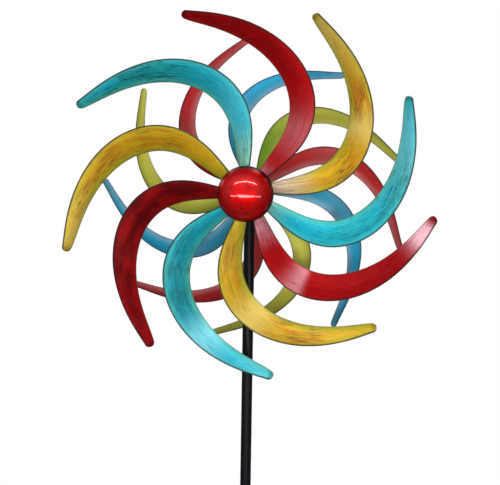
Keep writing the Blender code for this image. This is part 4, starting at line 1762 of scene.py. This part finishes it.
# ---------------------------------------------------------------- studio


@dataclass
class SoftLight:
    """A soft box or strip, aimed at the hub. One that isn't mirrored only fills, and shows in no gloss."""

    azimuth: float
    elevation: float
    distance: float
    width: float
    height: float
    power: float
    mirrored: bool = True


@dataclass
class Studio:
    """Floor, surroundings, lights and camera.

    Angles are in degrees. Azimuth 0 is the front and 90 is the right.
    """

    floor_height: float = -0.1805
    floor_radius: float = 2.2
    camera_azimuth: float = 5.5
    camera_elevation: float = 3.0
    camera_distance: float = 2.4
    camera_dip: float = 1.943
    camera_roll: float = 0.9
    lens: float = 108.0
    sensor: float = 36.0
    glow: tuple[float, float] = (0.08, 0.40)
    glow_heights: tuple[float, float] = (-0.5, 0.9)
    lights: tuple[SoftLight, ...] = (
        SoftLight(5.0, 53.0, 2.6, 4.6, 0.22, 40.0),
        SoftLight(7.0, -7.0, 3.1, 3.8, 0.50, 52.0),
        SoftLight(-42.0, -6.5, 3.1, 1.6, 0.30, 7.0),
        SoftLight(54.0, -6.5, 3.1, 1.8, 0.30, 8.0),
        SoftLight(-35.0, 30.0, 3.2, 2.0, 2.0, 42.0, False),
        SoftLight(45.0, 30.0, 3.2, 2.0, 2.0, 36.0, False),
        SoftLight(150.0, 40.0, 3.2, 2.0, 1.4, 50.0),
        SoftLight(-140.0, 25.0, 3.2, 2.0, 1.4, 40.0),
    )

    def build(self) -> None:
        """Builds the floor, the surroundings, the lights and the camera."""
        self._floor()
        self._surroundings()
        for number, light in enumerate(self.lights):
            self._light(number, light)
        self._camera()

    def _toward(self, azimuth: float, elevation: float) -> Vector:
        """The direction from the hub."""
        a, e = math.radians(azimuth), math.radians(elevation)
        return Vector((math.sin(a) * math.cos(e), -math.cos(a) * math.cos(e), math.sin(e)))

    def _floor(self) -> None:
        """Lays the pale floor under the prongs."""
        shape = bmesh.new()
        bmesh.ops.create_circle(shape, cap_ends=True, segments=128, radius=self.floor_radius)
        bmesh.ops.translate(shape, vec=(0, 0, self.floor_height), verts=shape.verts)
        floor = settled("floor", shape)
        paint = PaintShop(bpy.data.materials.new("pale_floor"))
        mottle = paint.grain(paint.place(), 6.0, 3.0)
        colour = paint.blend(mottle.fade(0.3, 0.7), tint(0.90, 0.90, 0.89), tint(0.92, 0.92, 0.91))
        floor.data.materials.append(paint.coat(Base_Color=colour, Roughness=0.8))
        floor.visible_glossy = False

    def _surroundings(self) -> None:
        """A white room to the eye, and a softer, graded one to the pieces."""
        paint = PaintShop(bpy.data.worlds.new("room"))
        height = paint.axes(paint.node("ShaderNodeTexCoord", output="Generated"))[2]
        (dim, bright), (low, high) = self.glow, self.glow_heights
        limits = {"Value": height, "From Min": low, "From Max": high, "To Min": dim, "To Max": bright}
        grade = paint.node("ShaderNodeMapRange", None, limits)
        eye = paint.node("ShaderNodeLightPath", output="Is Camera Ray")
        white = paint.node("ShaderNodeBackground", None, {"Color": 1.0, "Strength": 1.0})
        glow = paint.node("ShaderNodeBackground", None, {"Color": 1.0, "Strength": grade})
        room = paint.node("ShaderNodeMixShader", None, {0: eye, 1: glow, 2: white})
        paint.feed(paint.tree.nodes["World Output"].inputs["Surface"], room)
        bpy.context.scene.world = paint.owner
        bpy.context.scene.view_settings.view_transform = "Standard"

    def _light(self, number: int, light: SoftLight) -> None:
        """Hangs one light and turns it to the hub.

        Args:
            number: its number, for its name.
            light: its place, size and power.
        """
        data = bpy.data.lights.new(f"soft_light_{number}", "AREA")
        data.shape, data.size, data.size_y = "RECTANGLE", light.width, light.height
        data.energy = light.power
        lamp = bpy.data.objects.new(data.name, data)
        way = self._toward(light.azimuth, light.elevation)
        lamp.location = Vector((0.0, 0.0, AXLE_HEIGHT)) + way * light.distance
        lamp.rotation_euler = way.to_track_quat("Z", "Y").to_euler()
        lamp.visible_camera, lamp.visible_glossy = False, light.mirrored
        bpy.context.scene.collection.objects.link(lamp)

    def _camera(self) -> None:
        """Aims the camera a little below the hub, with a slight roll."""
        data = bpy.data.cameras.new("camera")
        data.lens, data.sensor_width = self.lens, self.sensor
        data.clip_start, data.clip_end = 0.05, 60.0
        camera = bpy.data.objects.new("camera", data)
        way = self._toward(self.camera_azimuth, self.camera_elevation)
        place = Matrix.Translation(Vector((0.0, 0.0, AXLE_HEIGHT)) + way * self.camera_distance)
        turn = way.to_track_quat("Z", "Y").to_matrix().to_4x4()
        roll = Matrix.Rotation(math.radians(self.camera_roll), 4, "Z")
        dip = Matrix.Rotation(-math.radians(self.camera_dip), 4, "X")
        camera.matrix_world = place @ turn @ roll @ dip
        bpy.context.scene.collection.objects.link(camera)
        bpy.context.scene.camera = camera


def write_sizes() -> None:
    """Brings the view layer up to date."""
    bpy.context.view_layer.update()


def main() -> None:
    """Builds every sub-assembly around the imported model, then the studio."""
    logging.basicConfig(level=logging.INFO, format="%(name)s: %(message)s")
    shop = Workshop()
    Stake().build(shop)
    Pole().build(shop)
    Head().build(shop)
    AxleLine().build(shop)
    front, rear = front_rotor(), rear_rotor()
    front.build(shop)
    Ball().build(shop, front)
    rear.build(shop)
    RearCover().build(shop, rear)
    Studio().build()
    write_sizes()
    LOG.info("%d pieces", shop.count)


if __name__ == "__main__":
    main()
